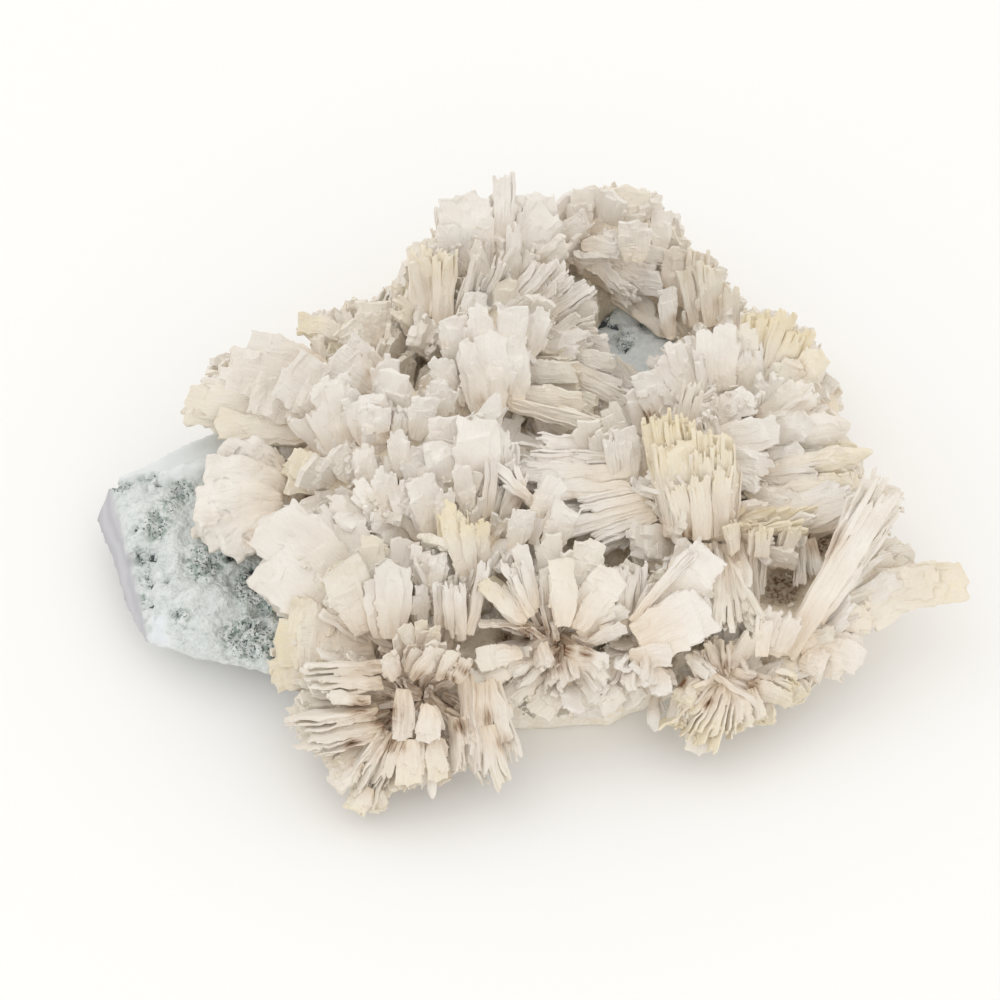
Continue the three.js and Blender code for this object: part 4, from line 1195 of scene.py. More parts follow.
# The star in the middle of the front, with a dark hollow at its heart.
grow_spray("star_spray", [
    ("leaf", (1, -12), (8, -10), 38, 6, 60, 3, 0.15),
    ("plate", (-4, -18), (-4, -18), 33, 5, 40, 1, 0.7),
    ("plate", (14, -17), (14, -17), 37, 7, 0, 1, 0.35),
    ("plate", (12, -8), (21, -10), 41, 7, 15, 3, 0.2),
    ("plate", (25, -19), (32, -15), 35, 9, 10, 3, 0.15),
    ("plate", (29, -28), (29, -28), 29, 8, 30, 2, 0.15),
    ("slat", (24, -42), (11, -43), 22, 6, 40, 4, 0.15),
    ("slat", (3, -43), (-6, -35), 23, 6, 45, 4, 0.15),
    ("leaf", (0, -25), (-3, -30), 28, 6, 60, 3, 0.1),
    ("slat", (20, -38), (2, -40), 16, 8, 30, 4, 0.2),
], [
    ("plate", (6, -28), (-4.5, -18.5), 30, 3, 5, 20, 0.6),
    ("leaf", (7, -27), (1, -13), 31, 3, 3.5, 40, 0.1), ("leaf", (8, -26), (4, -13), 31, 3, 3, 50, 0.1),
    ("plate", (8.5, -25), (3.5, -10), 32, 2, 4.5, 30, 0.1),
    ("plate", (7, -29), (-5, -28), 28, 2, 3, 60, 0.2),
    ("plate", (14.5, -29), (15, -13), 31, 3, 6.5, 0, 0.35),
    ("plate", (10, -24), (10.5, -15), 31, 2, 3.5, 20, 0.1),
    ("plate", (17, -29), (27, -16), 30, 3, 9, 5, 0.2), ("plate", (18, -31), (29, -25), 27, 3, 5, 30, 0.1),
    ("plate", (20, -33), (29, -29), 26, 3, 4, 40, 0.1), ("plate", (19, -22), (21, -9), 32, 2, 8, 0, 0.25),
    ("slat", (28, -30), (29, -15), 27, 2, 5, 20, 0.05), ("slat", (32, -28), (33, -14), 27, 2, 3, 40, 0.05),
    ("plate", (15, -35), (25, -38), 24, 3, 6, 30, 0.1), ("block", (17, -38), (24, -46), 20, 3, 7, 10, 0.1),
    ("leaf", (13, -36), (17, -46), 19, 3, 6, 50, 0.15), ("block", (10, -33), (11, -39), 26, 3, 4, 20, 0.1),
    ("plate", (9, -35), (3, -44), 21, 2, 6, 20, 0.3), ("plate", (6, -36), (-2, -45), 21, 2, 5, 30, 0.2),
    ("leaf", (10, -41), (6, -50), 16, 1, 8, 40, 0.2), ("leaf", (16, -42), (14, -50), 15, 1, 8, 40, 0.2),
    ("plate", (20, -44), (20, -50.5), 13, 0, 8, 0, 0.1), ("plate", (5, -35), (-6, -37), 25, 3, 6, 20, 0.25),
    ("plate", (4, -38), (-6.5, -42), 23, 3, 6, 15, 0.3),
    ("plate", (9, -40), (-1, -47.5), 20, 2, 6, 15, 0.35),
    ("plate", (15, -41), (8, -49.5), 19, 2, 7, 10, 0.3), ("plate", (22, -41), (27, -48), 19, 2, 7, 10, 0.2),
    ("plate", (27, -40), (32, -47), 19, 2, 6, 10, 0.2),
], stain=0.7, tone=0.6, tuft=30, reach=(3, 16), hollows=[
    (14, -34, 5), (-4, -29, 4), (1, -31, 4), (6, -31, 4), (10, -30, 3), (14, -38, 3), (20, -35, 3),
])

# The big white petals in the middle.
grow_spray("white_petals", [
    ("plate", (-20, 12), (-13, 17), 45, 7, 0, 3, 0.0),
    ("plate", (3, 13), (4, 9), 44, 5, 35, 2, 0.0),
    ("feather", (-23, 5), (-22, -1), 40, 7, 20, 3, 0.0),
    ("slat", (8, 1), (8, 1), 40, 6, 50, 2, 0.0),
    ("feather", (5, 7), (7, 3), 41, 5, 40, 3, 0.0),
], [
    ("plate", (-5, -4), (-6, 19), 33, 6, 11, 0, 0.0),
    ("plate", (-10.5, -3), (-15, 13.5), 32, 5, 8.5, 6, 0.0),
    ("plate", (-1, -3), (-0.5, 17.5), 32, 5, 6, 14, 0.0), ("slat", (1, -3), (3, 13), 31, 4, 4, 25, 0.0),
    ("plate", (-14, -9), (-19, 5), 32, 4, 8, 5, 0.0), ("plate", (-15, -2), (-21, 12), 31, 3, 9, 6, 0.0),
    ("plate", (-11, 4), (-13.5, 19.5), 36, 4, 8, 5, 0.0), ("plate", (-18, -9), (-24, 3), 30, 3, 7, 8, 0.0),
    ("plate", (-4, 8), (-3, 20.5), 35, 3, 8, 5, 0.0), ("leaf", (2, 4), (8, -4), 31, 2, 4, 30, 0.0),
    ("feather", (-12, -8), (-12.5, 3), 34, 4, 5, 10, 0.05),
    ("feather", (0, -6), (5.5, 6), 32, 3, 5, 20, 0.0), ("slat", (-3, -4), (-2, 10), 35, 5, 3.5, 20, 0.0),
    ("plate", (-7, -5), (-9, 8), 34, 6, 5, 8, 0.0),
], stain=0.15, tone=0.85, tuft=6)

# The jumble left of the middle.
grow_spray("middle_jumble", [
    ("plate", (-50, 9), (-49, 4), 31, 6, 20, 3, 0.6),
    ("feather", (-46, -2), (-44, -4), 31, 6, 20, 3, 0.1),
    ("feather", (-43, 14), (-34, 15), 37, 6, 15, 4, 0.05),
    ("feather", (-29, 16), (-19, 19), 43, 6, 15, 5, 0.0),
    ("feather", (-37, -7), (-27, -6), 37, 7, 20, 4, 0.05),
    ("feather", (-36, 9), (-26, 8), 40, 6, 15, 5, 0.05),
], [
    ("block", (-28, 13), (-29.5, 22), 39, 3, 8, 0, 0.0), ("plate", (-20, 14), (-17, 24), 40, 3, 7, 10, 0.0),
    ("feather", (-15, 18), (-14, 28), 40, 3, 7, 10, 0.0), ("plate", (-33, 4), (-38, 12), 32, 3, 7, 5, 0.1),
    ("plate", (-36, 4), (-49, 9), 30, 2, 7, 10, 0.6), ("feather", (-30, 0), (-31, 13), 34, 3, 6, 5, 0.1),
    ("feather", (-34, -7), (-47, -4), 29, 2, 6, 20, 0.1),
    ("feather", (-26, -4), (-27, 8), 34, 3, 6, 5, 0.05),
    ("feather", (-24, -6), (-34, 4), 33, 3, 6, 10, 0.1),
    ("feather", (-27, -8), (-40, 1), 30, 3, 6, 10, 0.1),
    ("feather", (-22, 4), (-24, 16), 37, 3, 6, 10, 0.0),
], stain=0.3, tone=0.65)

# The blocky mass at the left, over the bare end of the plate.
grow_spray("blocky_mass", [
    ("block", (-68, 31), (-69, 26), 27, 8, 20, 3, 0.15),
    ("block", (-57, 31), (-47, 32), 30, 8, 30, 3, 0.1),
    ("plate", (-73, 21), (-70, 17), 23, 7, 30, 3, 0.4),
    ("plate", (-63, 16), (-56, 15), 21, 8, 40, 3, 0.5),
    ("plate", (-51, 27), (-47, 21), 33, 8, 15, 3, 0.1),
    ("block", (-41, 28), (-37, 17), 36, 8, 15, 4, 0.05),
    ("block", (-60, 25), (-52, 22), 29, 8, 25, 3, 0.1),
], [
    ("block", (-42, 24), (-67, 32), 29, 3, 13, 6, 0.1), ("plate", (-40, 30), (-59, 34), 31, 3, 11, 8, 0.1),
    ("plate", (-46, 19), (-73, 21.5), 27, 3, 11, 8, 0.35),
    ("plate", (-42, 15), (-66, 16.5), 27, 3, 8, 12, 0.45),
    ("plate", (-36, 20), (-50, 30), 33, 4, 14, 0, 0.1), ("block", (-32, 12), (-41, 28), 34, 4, 12, 5, 0.05),
    ("block", (-29, 13), (-32, 25), 37, 4, 11, 3, 0.0), ("plate", (-28, 24), (-39, 33), 34, 4, 11, 5, 0.05),
    ("plate", (-44, 20), (-57, 25), 30, 4, 11, 5, 0.15),
], stain=0.45, tone=0.5, tuft=8)

# The yellow-tipped spray above it.
grow_spray("yellow_tipped_spray", [
    ("plate", (-47, 40), (-46, 39), 26, 6, 10, 2, 0.8),
    ("plate", (-37, 39), (-29, 44), 33, 7, 20, 3, 0.5),
    ("block", (-33, 36), (-28, 38), 36, 8, 10, 2, 0.3),
    ("plate", (-40, 35), (-31, 41), 20, 7, 20, 3, 0.5),
    ("plate", (-40, 34), (-38, 38), 31, 6, 20, 2, 0.6),
], [
    ("plate", (-33, 37), (-47, 41), 29, 2, 6, 15, 0.7), ("plate", (-32, 34), (-36, 40), 31, 2, 7, 10, 0.3),
    ("plate", (-30, 36), (-29, 46), 29, 2, 9, 10, 0.25),
], stain=0.4, tone=0.6)

# The tall spray at the back, with the highest tips and a fluted cream column on its left.
grow_spray("tall_back_spray", [
    ("slat", (-19, 56), (-14, 58), 45, 8, 50, 3, 0.35),
    ("slat", (-25, 46), (-22, 51), 39, 6, 40, 2, 0.5),
    ("plate", (-14, 66), (-5, 69), 48, 11, 0, 3, 0.0),
    ("block", (0, 72), (2.5, 72), 51, 5, 60, 2, 0.0),
    ("plate", (11, 69), (10, 69), 46, 11, 10, 2, 0.0),
    ("plate", (3, 22), (-6, 19), 33, 8, 20, 3, 0.0),
    ("slat", (-5, 57), (3, 58), 53, 5, 70, 3, 0.05),
    ("slat", (10, 48), (15, 53), 41, 7, 20, 3, 0.0),
    ("plate", (22, 45), (22, 45), 35, 6, 20, 2, 0.1),
    ("plate", (20, 33), (19, 28), 33, 8, 20, 3, 0.45),
    ("plate", (25, 17), (22, 22), 31, 7, 10, 3, 0.4),
    ("plate", (7, 37), (5, 34), 42, 12, 0, 2, 0.0),
    ("plate", (-15, 58), (6, 64), 24, 9, 30, 4, 0.2),
    ("block", (-20, 40), (-14, 36), 40, 8, 20, 3, 0.1),
], [
    ("feather", (-4, 19), (-9, 37), 35, 3, 7, 8, 0.05), ("plate", (-1, 19), (-3, 39), 34, 3, 8.5, 0, 0.0),
    ("feather", (3, 21), (4, 38), 34, 3, 8, 6, 0.0), ("feather", (-8, 20), (-15, 33), 34, 3, 7, 10, 0.05),
    ("plate", (-7, 47), (-8.5, 71), 33, 2, 14, 0, 0.0), ("slat", (1, 50), (1, 76), 35, 4, 5.5, 10, 0.0),
    ("block", (1.5, 55), (1, 71.5), 38, 2, 7.5, 10, 0.1), ("slat", (-4, 47), (-4, 60), 34, 3, 4, 20, 0.0),
    ("slat", (3, 47), (3, 64), 36, 3, 4, 20, 0.0), ("plate", (7, 55), (9, 71), 36, 2, 11, 5, 0.0),
    ("slat", (-18, 38), (-18, 59), 31, 3, 7, 10, 0.55), ("slat", (-13, 38), (-13, 58), 32, 3, 6, 10, 0.6),
    ("slat", (-22, 40), (-23, 50), 28, 2, 5, 20, 0.4), ("block", (-21, 38), (-21, 46), 30, 3, 5, 10, 0.1),
    ("slat", (-3, 38), (12, 56), 34, 3, 5, 15, 0.0), ("slat", (2, 40), (17, 52), 33, 3, 5, 15, 0.0),
    ("plate", (-6, 38), (4, 50), 34, 2, 7, 5, 0.0), ("slat", (8, 40), (21, 50), 32, 2, 5, 15, 0.0),
    ("feather", (-8, 36), (-5, 48), 34, 2, 7, 10, 0.05),
    ("plate", (9, 38.5), (25.5, 35.5), 31, 2, 6, 10, 0.1), ("plate", (12, 34), (27, 31), 31, 2, 5, 10, 0.1),
    ("slat", (14, 30), (31, 22.5), 31, 2, 5, 15, 0.15),
    ("feather", (-6, 26), (-12, 38), 34, 3, 7, 10, 0.05), ("plate", (-9, 29), (-11, 42), 38, 4, 8, 5, 0.0),
    ("feather", (-4, 28), (-4, 45), 39, 4, 8, 5, 0.0), ("plate", (1, 29), (4, 45), 39, 4, 8, 5, 0.0),
    ("feather", (5, 31), (11, 44), 37, 3, 6, 10, 0.0), ("slat", (10, 36), (22, 41), 31, 2, 4, 20, 0.15),
    ("slat", (2, 22), (27, 15.5), 35, 2, 4.5, 20, 0.35), ("plate", (0, 25), (20, 22.5), 35, 2, 6, 15, 0.45),
    ("plate", (0, 30), (18, 29), 35, 2, 6, 15, 0.3),
], stain=0.35, tone=0.7, tuft=20)

# The spray at the back right.
grow_spray("back_right_spray", [
    ("plate", (17, 71), (17, 71), 40, 8, 20, 2, 0.0),
    ("plate", (25, 71), (34, 71), 40, 10, 10, 3, 0.25),
    ("plate", (39, 67), (40, 61), 34, 8, 30, 3, 0.35),
    ("plate", (38, 54), (37, 49), 30, 7, 20, 3, 0.0),
    ("slat", (31, 47), (31, 47), 27, 5, 50, 2, 0.0),
    ("plate", (18, 65), (34, 62), 21, 8, 30, 3, 0.2),
    ("plate", (16, 60), (22, 58), 38, 8, 30, 2, 0.1),
], [
    ("plate", (18, 58), (19, 72), 30, 3, 6, 10, 0.1), ("plate", (28, 60), (29, 72), 31, 3, 12, 0, 0.3),
    ("plate", (31, 55), (31, 64.5), 34, 3, 8, 0, 0.15), ("plate", (36, 55), (38, 67), 28, 2, 6, 10, 0.1),
    ("plate", (20, 63), (34, 64), 33, 2, 6, 30, 0.2), ("plate", (38, 60), (43, 57), 26, 2, 6, 20, 0.25),
    ("plate", (14, 62.5), (39, 54.5), 32, 3, 5, 10, 0.1),
    ("plate", (19, 59.5), (39.5, 47), 31, 3, 6, 5, 0.1),
    ("plate", (12, 59), (20, 65.5), 33, 3, 5, 10, 0.05), ("plate", (17, 58), (31, 46), 31, 2, 4, 10, 0.0),
    ("plate", (21, 60), (35, 70), 31, 2, 8, 5, 0.2), ("plate", (19, 59), (30, 58), 34, 3, 5, 10, 0.0),
], stain=0.35, tone=0.65, tuft=10)

# One smooth rod lies across the bare window of the plate.
grow_spray("window_rod", [
    ("rod", (41, 37.5), (41, 37.5), 20, 3, 20, 1, 0.3),
], [
    ("rod", (31, 43.5), (41.5, 36.5), 21, 1, 3.2, 20, 0.4),
], stain=0.2, tone=0.6, extra=0, tuft=5, weld=0.43)

# The tan drusy cluster at the right shoulder.
grow_spray("drusy_cluster", [
    ("slat", (43, 55), (48, 54), 27, 5, 60, 3, 0.4),
    ("slat", (51, 49), (53, 46), 25, 5, 60, 3, 0.5),
    ("slat", (54, 43), (49, 41), 25, 6, 60, 3, 0.5),
    ("block", (45, 50), (50, 46), 27, 6, 30, 3, 0.4),
], [
    ("slat", (45, 40), (43, 54), 26, 3, 5, 20, 0.45), ("slat", (49, 40), (48, 55.5), 27, 3, 6, 20, 0.45),
    ("slat", (53, 38), (52.5, 49.5), 26, 3, 5, 20, 0.5), ("plate", (40, 46), (41.5, 58), 25, 2, 8, 0, 0.2),
    ("slat", (44, 44), (46, 58), 25, 2, 6, 10, 0.4), ("plate", (38.5, 37), (38.5, 49), 24, 2, 5, 0, 0.1),
], stain=0.8, tone=0.4, reach=(4, 22))

# The great spray at the right: pale plates, a yellow crest and smooth fingers that reach
# out over the edge.
grow_spray("great_right_spray", [
    ("feather", (34, 33), (42, 39), 38, 7, 10, 4, 0.0),
    ("feather", (45, 39), (54, 41), 43, 7, 10, 4, 0.1),
    ("slat", (58, 43), (65, 43), 43, 7, 45, 4, 0.85),
    ("plate", (68, 37), (71, 30), 36, 7, 30, 3, 0.6),
    ("plate", (73, 25), (74, 22), 33, 8, 20, 2, 0.25),
    ("rod", (79, 17), (79, 17), 31, 7, 15, 1, 0.15),
    ("rod", (85, 11), (85, 11), 29, 5.5, 10, 1, 0.7),
    ("block", (82, 3), (80, -4), 27, 8, 10, 3, 0.6),
    ("plate", (64, -1), (56, 1), 28, 8, 20, 3, 0.1),
    ("slat", (49, 22), (60, 24), 45, 5, 60, 4, 0.05),
    ("plate", (33, 27), (35, 19), 32, 8, 20, 3, 0.0),
    ("plate", (63, 34), (71, 19), 20, 7, 30, 3, 0.3),
    ("feather", (62, 33), (68, 30), 41, 7, 20, 4, 0.3),
    ("feather", (38, 26), (62, 28), 41, 6, 10, 6, 0.05),
], [
    ("plate", (46, 12), (64, 17), 35, 4, 8, 8, 0.0), ("feather", (46, 10), (63, 9), 34, 4, 7, 8, 0.0),
    ("plate", (44, 16), (58, 24), 36, 4, 8, 5, 0.0), ("feather", (45, 9), (60, 2.5), 33, 4, 6, 8, 0.05),
    ("feather", (46, 20), (40, 37), 34, 4, 6.5, 5, 0.0), ("feather", (49, 20), (47, 39), 35, 4, 6, 0, 0.05),
    ("feather", (51, 20), (52, 41), 35, 4, 6.5, 0, 0.05), ("plate", (47, 18), (37, 33), 33, 3, 5.5, 5, 0.0),
    ("slat", (48, 20), (46, 34), 35, 5, 4, 50, 0.0), ("feather", (55, 22), (57, 41), 35, 4, 7, 10, 0.3),
    ("slat", (58, 25), (60, 43), 35, 4, 6, 15, 0.9), ("slat", (60, 25), (65.5, 44), 35, 4, 6, 15, 0.9),
    ("slat", (62, 24), (70.5, 40), 34, 3, 7, 15, 0.85), ("plate", (63, 22), (74.5, 34), 33, 3, 7, 10, 0.6),
    ("plate", (38, 16), (34, 30), 32, 3, 8, 10, 0.0), ("plate", (60, 20), (69, 32), 32, 3, 7, 10, 0.4),
    ("feather", (57, 16), (71, 28), 31, 3, 7, 10, 0.2), ("slat", (58, 14), (74, 24), 31, 3, 6, 20, 0.1),
    ("plate", (58, 12), (72, 19), 31, 4, 7, 10, 0.05), ("rod", (60, 13), (80.5, 18.5), 31, 5, 8, 15, 0.15),
    ("rod", (60, 6), (85.5, 12), 30, 3, 5.5, 15, 0.6), ("slat", (58, 5), (74, 6), 29, 3, 5, 20, 0.05),
    ("plate", (56, 8), (70, 11), 30, 3, 5, 15, 0.0), ("block", (66, 1), (80, 4), 27, 2, 7, 15, 0.7),
    ("plate", (62, 1), (81, 2), 28, 2, 8, 10, 0.55), ("plate", (56, 2), (70, -2), 29, 2, 7, 10, 0.1),
], stain=0.15, tone=0.75, hollows=[(70, 21, 2.5), (69, 30, 3), (46, 17, 3), (35, 19, 3)])

# The fluted cream-yellow column right of the middle, with a curtain of plates under it.
grow_spray("fluted_column", [
    ("sliver", (51, -1), (73, -2), 33, 2.2, 35, 15, 0.85),
    ("sliver", (52, -5), (72, -6), 34, 2.4, 35, 14, 0.8),
    ("slat", (46, -31), (60, -30), 28, 7, 40, 5, 0.25), ("plate", (71, -8), (70, -20), 27, 7, 40, 3, 0.2),
], [
    ("plate", (44, -8.5), (38.5, 18.5), 30, 5, 12, 5, 0.85),
    ("plate", (50, -8.5), (48.5, 15.5), 30, 5, 11, 5, 0.8),
    ("slat", (39.5, -8), (33.5, 19), 30, 5, 4.6, 15, 0.7),
    ("slat", (41.5, -9), (36.3, 20.5), 31, 5, 5, 5, 0.85),
    ("slat", (43.5, -9), (39.5, 19.5), 31, 6, 5, 12, 0.85),
    ("slat", (45.5, -9), (42.8, 18), 31, 5, 5, 0, 0.85), ("slat", (47.5, -9), (46, 17), 31, 6, 5, 12, 0.8),
    ("slat", (49.5, -9), (49, 15.5), 31, 5, 5, 5, 0.7),
    ("slat", (51.5, -8), (52, 13.5), 31, 5, 4.6, 12, 0.6), ("slat", (53, -7), (54, 9), 30, 3, 4, 20, 0.4),
    ("slat", (41, -8), (37, 13), 33, 5, 5.4, 8, 0.7), ("plate", (44, -8), (41.5, 14), 33, 5, 7, 8, 0.7),
    ("slat", (47.5, -8), (46.5, 12), 33, 5, 5.4, 4, 0.65),
    ("slat", (50.5, -8), (50.5, 8), 33, 4, 5, 10, 0.55), ("slat", (43, -8.5), (40.5, 4), 35, 4, 5, 10, 0.5),
    ("slat", (46.5, -9), (46, 5.5), 35, 4, 5.4, 8, 0.5), ("slat", (39, -7), (36, 6), 30, 4, 4, 20, 0.3),
    ("slat", (54, -12), (53, -5.5), 31, 3, 4, 35, 0.6), ("slat", (60, -13), (61, -6), 30, 3, 4, 20, 0.7),
    ("slat", (66, -12), (68, -6), 29, 3, 4, 35, 0.7), ("slat", (52, -10), (51.5, -28), 30, 1, 6, 10, 0.1),
    ("slat", (57, -10), (57.5, -29), 29, 1, 5.5, 10, 0.15),
    ("slat", (47, -10), (48, -22), 31, 1, 5, 10, 0.05), ("slat", (60, -10), (60, -22), 28, 1, 3, 20, 0.2),
    ("plate", (59, -27), (62, -34), 22, 1, 6, 10, 0.2), ("slat", (53, -26), (53.5, -34), 24, 1, 4, 10, 0.2),
    ("slat", (69, -8), (69, -20), 27, 1, 3.5, 30, 0.1), ("slat", (71, -9), (73, -18), 26, 1, 4, 30, 0.1),
], stain=0.35, tone=0.7, hollows=[(65, -19, 6), (61, -24, 3), (74, -10, 4.5), (43, -8, 2.5)])

# Long flat slats that run to the left from beside the column.
grow_spray("flat_slats", [
    ("slat", (4, 12), (4, 6), 33, 7, 50, 3, 0.05),
    ("slat", (10, 1), (10, -7), 33, 8, 30, 3, 0.0),
    ("plate", (27, 14), (27, 14), 38, 8, 20, 2, 0.0),
    ("leaf", (14, -2), (18, -8), 31, 5, 50, 2, 0.0),
], [
    ("slat", (29, 9.5), (7, 9.5), 37, 2, 4, 15, 0.0), ("plate", (30, 6), (3, 6), 36, 2, 5.5, 15, 0.0),
    ("slat", (29, 13), (8, 12.5), 37, 2, 4, 15, 0.0), ("plate", (30, 2.5), (8, 2.5), 35, 2, 5, 20, 0.0),
    ("slat", (35, -1), (11, -7.5), 34, 3, 5, 20, 0.0), ("slat", (34, 1.5), (18, -1), 35, 2, 4.5, 20, 0.0),
    ("slat", (36, -3.5), (21, -9.5), 33, 3, 4, 20, 0.0),
    ("slat", (9, -2), (-1.5, 9), 37, 2, 3, 25, 0.0), ("slat", (11, -3), (1, 4), 36, 2, 3, 30, 0.0),
    ("plate", (7, -6), (14, 5), 36, 2, 6, 10, 0.0), ("plate", (11, -12), (16, -1), 34, 2, 7, 10, 0.05),
    ("plate", (3, -12), (6, -2), 35, 3, 6, 10, 0.0), ("leaf", (32, -6), (20, -12), 29, 3, 4, 30, 0.05),
    ("slat", (27, 2), (25, 15), 33, 3, 3.5, 30, 0.0), ("plate", (30, 3), (29, 17), 33, 3, 6, 10, 0.05),
], stain=0.25, tone=0.75)

# Wide plates between the star and the column's curtain.
grow_spray("wide_plates", [
    ("plate", (41, -21), (49, -25), 31, 9, 5, 3, 0.05),
    ("plate", (44, -9), (44, -9), 38, 6, 20, 2, 0.1),
    ("slat", (31, -43), (31, -43), 23, 8, 30, 2, 0.1),
    ("leaf", (24, -36), (30, -42), 21, 6, 50, 2, 0.2),
], [
    ("plate", (32, -33), (48, -24), 26, 2, 13, 0, 0.0),
    ("plate", (38, -26), (49, -11.5), 29, 2, 10, 0, 0.0), ("slat", (30, -28), (44, -11), 30, 2, 3, 30, 0.0),
    ("slat", (34, -37), (38, -45), 20, 2, 5, 10, 0.05),
    ("plate", (36, -38.5), (37, -45), 22, 2, 5.5, 0, 0.0),
    ("slat", (30, -38), (30.5, -48), 18, 2, 4, 30, 0.1),
    ("rod", (35.5, -45), (35.7, -53.5), 12, 0, 3.5, 20, 0.05),
    ("leaf", (43, -36), (50, -41), 22, 2, 4, 40, 0.1), ("slat", (28, -36), (24, -42), 22, 2, 5, 20, 0.1),
    ("plate", (30, -36), (40, -35), 24, 2, 6, 10, 0.0),
], stain=0.4, tone=0.75)

# The long diagonal blade and the plates that reach farthest right.
grow_spray("long_diagonal", [
    ("slat", (91, 1), (91, 1), 35, 6, 10, 1, 0.1),
    ("block", (106, -17), (105, -19), 21, 8, 15, 2, 0.5),
    ("plate", (93, -12), (93, -12), 24, 7, 25, 2, 0.6),
    ("plate", (95, -23), (94, -23), 17, 5, 15, 2, 0.1),
    ("plate", (83, -35), (75, -38), 15, 8, 10, 3, 0.1),
], [
    ("slat", (65.5, -36), (90.5, 4.5), 17, 8, 7.5, 10, 0.1),
    ("block", (69, -29), (88, 7), 21, 8, 5, 25, 0.1), ("slat", (71, -29), (91.5, -2), 19, 5, 4, 20, 0.1),
    ("plate", (79, -21.5), (108, -18.5), 18, 3, 10.5, 5, 0.55),
    ("rod", (84, -19), (106.5, -17), 20, 2, 6, 15, 0.5),
    ("block", (82, -20), (103, -18.5), 20, 3, 8, 10, 0.5),
    ("plate", (84, -14), (95.5, -11.5), 22, 2, 5, 20, 0.1),
    ("feather", (59, -34), (64, -25), 22, 3, 6, 10, 0.1),
    ("feather", (63, -36), (68.5, -26.5), 20, 3, 5.5, 15, 0.1),
    ("slat", (60, -36), (61, -26), 22, 3, 4, 20, 0.15), ("plate", (82, -24), (99, -22), 16, 2, 4, 15, 0.1),
    ("plate", (74, -33), (84, -37), 18, 2, 7, 10, 0.1), ("plate", (72, -36), (80, -39), 15, 2, 7, 10, 0.2),
    ("block", (70, -38), (74, -41), 14, 2, 6, 10, 0.3),
], stain=0.3, tone=0.85, hollows=[(67, -18, 5), (76, -9, 5), (63, -24, 3)])

# The fine yellow spray at the lower right.
grow_spray("fine_yellow_spray", [
    ("leaf", (35, -53), (45, -59.5), 10, 7, 60, 4, 0.8),
    ("leaf", (52, -56), (62, -52.5), 12, 7, 60, 3, 0.5),
    ("plate", (69, -46), (69, -46), 15, 7, 50, 2, 0.6),
    ("slat", (47, -33), (59, -31), 26, 6, 40, 3, 0.4),
    ("leaf", (40, -46), (60, -44), 14, 5, 50, 5, 0.8),
], [
    ("plate", (46, -48), (46, -58.5), 14, 0, 7, 0, 0.2), ("leaf", (42, -44), (41, -52), 16, 1, 5, 40, 0.3),
    ("block", (55, -42), (53, -54), 15, 1, 8, 20, 0.7), ("block", (60, -42), (60, -52), 14, 1, 8, 20, 0.7),
    ("leaf", (63, -41), (69, -43), 18, 1, 5, 60, 0.9), ("block", (66, -42), (68, -47), 14, 1, 7, 10, 0.8),
    ("block", (45, -41), (41, -47), 18, 2, 6, 20, 0.6), ("block", (50, -43), (48, -52), 16, 1, 7, 20, 0.75),
], stain=0.45, tone=0.6, tuft=30, reach=(3, 14), hollows=[
    (39, -37, 4), (51, -39, 4), (47, -36, 3), (58, -42, 3), (48, -47, 2.5), (42, -42, 2.5),
])

# ---------------------------------------------------------------------------------------
# The blades and small crystals that crowd the bed between the sprays. They lean the way
# the nearest spray grows, and at the back they stand up the crust's side.
# ---------------------------------------------------------------------------------------
LONG_CROWD = 240
LARGE_CROWD = 200
SMALL_CROWD = 220
BACK_CROWD = 170
# What they keep clear of at the bare window, low over it and all round it: x, y and radius.
OVER_WINDOW = [(31, 31, 17)]
ROUND_WINDOW = [(31, 31, 24)]
NO_SEAT = Vector((0, 0, -1))  # m: too far off for any stain to come from it
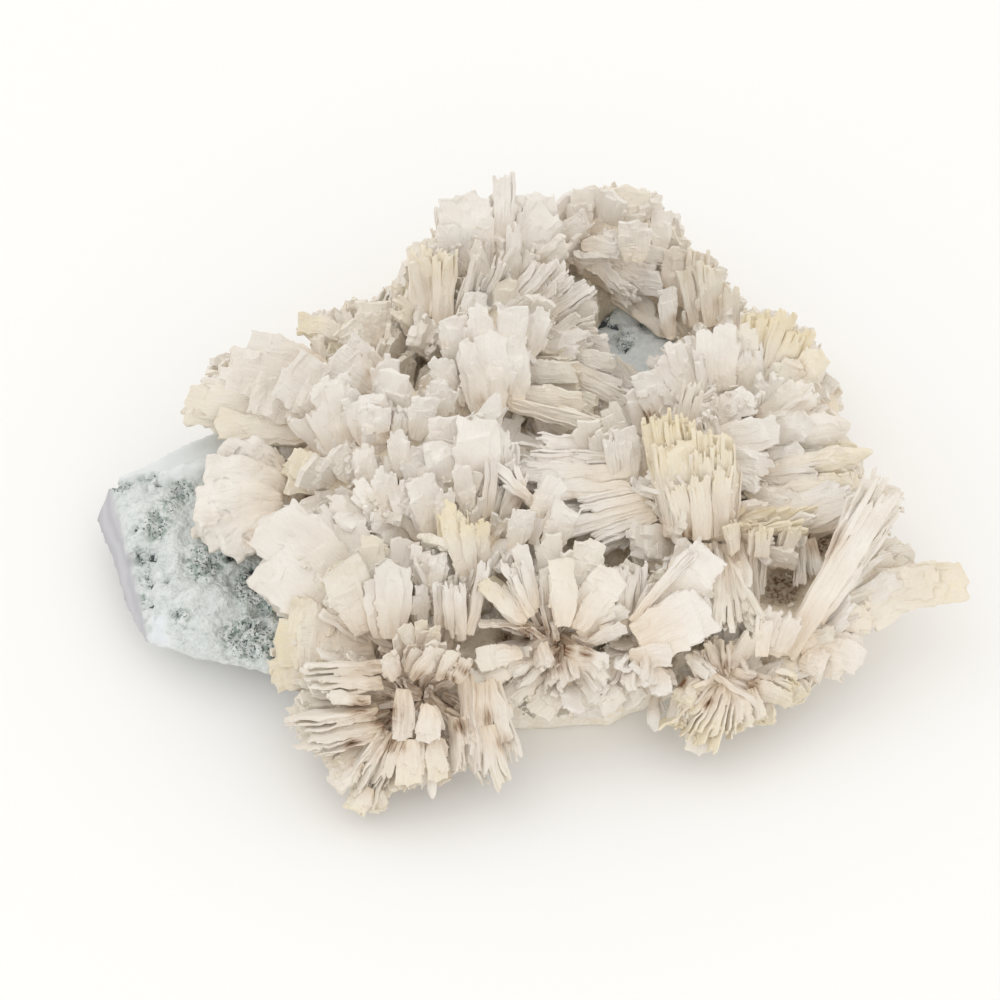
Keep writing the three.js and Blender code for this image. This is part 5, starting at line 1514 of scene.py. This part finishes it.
# Broad faces that few small crystals cover: across and up the view, and radius.
BROAD_FACES = [
    (-56, 24, 14), (-38, 24, 12), (-31, 20, 8), (-3, 29, 12), (16, 7, 12), (22, -3, 9), (45, 7, 11),
    (60, 18, 13), (52, 32, 11), (66, 34, 10), (30, 60, 12), (-2, 58, 13), (-8, 12, 9), (-47, -20, 12),
    (80, -16, 13), (74, 10, 10), (-8, -5, 9), (-22, 6, 10), (-36, 4, 9),
]
points, normals = columns_of(bed_mesh)
seat_points = np.array([spot(*seat[:3])[:] for seat in SEATS.values()])
open_top = [i for i in range(len(points)) if normals[i, 2] > -0.3 and points[i, 2] > 12 * MM]
for count, index in enumerate(dice.sample(open_top, LONG_CROWD + LARGE_CROWD + SMALL_CROWD)):
    if count == LONG_CROWD + LARGE_CROWD // 2:  # the crowd is shared between two pieces
        grow_piece("crowding_blades", NO_SEAT, 0.3)
    at = Vector(points[index])
    if near(np.array([at[:]]), OVER_WINDOW)[0] > 0 and at.z < PLATE_TOP + 9 * MM:
        continue
    nearest = seat_points[np.argmin(np.linalg.norm(seat_points - points[index], axis=1))]
    away = (at - Vector(nearest) + Vector((0, 0, 4 * MM))).normalized()
    jitter = Vector([dice.gauss(0, 0.22) for _ in range(3)])
    axis = (Vector(normals[index]) * 0.35 + away * 1.1 + Vector((0, 0, 0.2)) + jitter).normalized()
    tip_shown = shown_at(np.array([(at + axis * (9 * MM))[:]])) * MM
    if dice.random() < 0.85 * near(tip_shown, BROAD_FACES)[0]:
        continue
    if count < LONG_CROWD:
        lay(dice.choice(("feather", "feather", "slat", "leaf", "plate")), at - axis * (5 * MM), axis,
            dice.uniform(14, 21), dice.uniform(5, 9.5), swing(40), dice.uniform(0, 0.3),
            dice.uniform(0.45, 0.85), COARSE)
        continue
    large = count < LONG_CROWD + LARGE_CROWD
    kind, lengths, widths = ("spall", (7, 14), (3, 6.5)) if large else ("sliver", (3, 7), (1.4, 2.8))
    lay(kind, at - axis * (2 * MM), axis, dice.uniform(*lengths), dice.uniform(*widths), swing(60),
        dice.uniform(0, 0.35), dice.uniform(0.35, 0.85))
by_window = near(points, ROUND_WINDOW)
back_side = [
    i for i in range(len(points))
    if normals[i, 1] > 0.1 and normals[i, 2] > -0.1 and points[i, 1] > 12 * MM and points[i, 2] > 11 * MM
    and by_window[i] == 0
]
for index in dice.sample(back_side, BACK_CROWD):
    normal = Vector(normals[index])
    jitter = Vector([dice.gauss(0, 0.3) for _ in range(3)])
    axis = (normal + Vector((0, 0.1, 0.7)) + jitter).normalized()
    lay(dice.choice(("feather", "leaf", "spall", "spall", "slat")), Vector(points[index]) - axis * (3 * MM),
        axis, dice.uniform(8, 14), dice.uniform(4, 7.5), dice.uniform(0, 180), dice.uniform(0, 0.4),
        dice.uniform(0.4, 0.85), COARSE)
grow_piece("crowding_crystals", NO_SEAT, 0.3)

# ---------------------------------------------------------------------------------------
# The small bun of blades that stands by itself on the bare left end of the plate: short
# blocks and plates round one welded lump.
# ---------------------------------------------------------------------------------------
outlying_seat = spot(-52, 1, 20)
bun_form = bmesh.new()
core(bun_form, spot(-51, 1, 21), spot(-63, 0, 22), 7, 5.5)
core(bun_form, spot(-57, 4, 22), spot(-60, -6, 21), 5.5, 4.5)
bun_mesh = remeshed(bun_form, LUMP_DETAIL)
bun_points, bun_normals = columns_of(bun_mesh)
bun_points += bun_normals * ((0.8 * grain(bun_points, 5 * MM, 2, 31.0) + 0.5)[:, None] * MM)
laid.append((bun_points, triangles_of(bun_mesh), np.full(len(bun_points), 0.5), 0.1, 0.6, bun_points / MM))
grow_fans(outlying_seat, [
    ("block", (-66, 8), (-70, -2), 24, 9, 15, 3, 0.1),
    ("block", (-71, -6), (-69, -10), 20, 8, 15, 3, 0.15),
    ("block", (-63, -11), (-60, -12), 21, 8, 15, 2, 0.1),
    ("plate", (-61, 10), (-56, 11), 27, 8, 15, 2, 0.1),
], 0.6, 0, 0.2)
lay_singles([
    ("plate", (-50, 6), (-65, 11), 26, 2, 11, 0, 0.05), ("plate", (-49, 3), (-68.5, 5), 27, 3, 12, 0, 0.05),
    ("plate", (-50, 0), (-70.5, -2.5), 27, 3, 12, 5, 0.05),
    ("block", (-51, -2), (-70, -8), 25, 3, 10, 5, 0.1),
    ("plate", (-52, -3), (-64, -11.5), 26, 3, 10, 5, 0.05),
    ("block", (-53, -4), (-58.5, -11), 25, 3, 7, 5, 0.1),
    ("block", (-60, -3), (-71, -5), 27, 2, 5, 10, 0.1),
    ("plate", (-52, 7), (-59, 12.5), 27, 1, 8, 10, 0.05),
], 0.6, extra=0)
grow_piece("outlying_spray", outlying_seat, 0.4, "outlying_blade_spray", (2, 8), [
    (-48.5, 1.5, 2.5), (-44, -1, 4), (-57, -9, 3),
], weld=0.5, share=0.3)
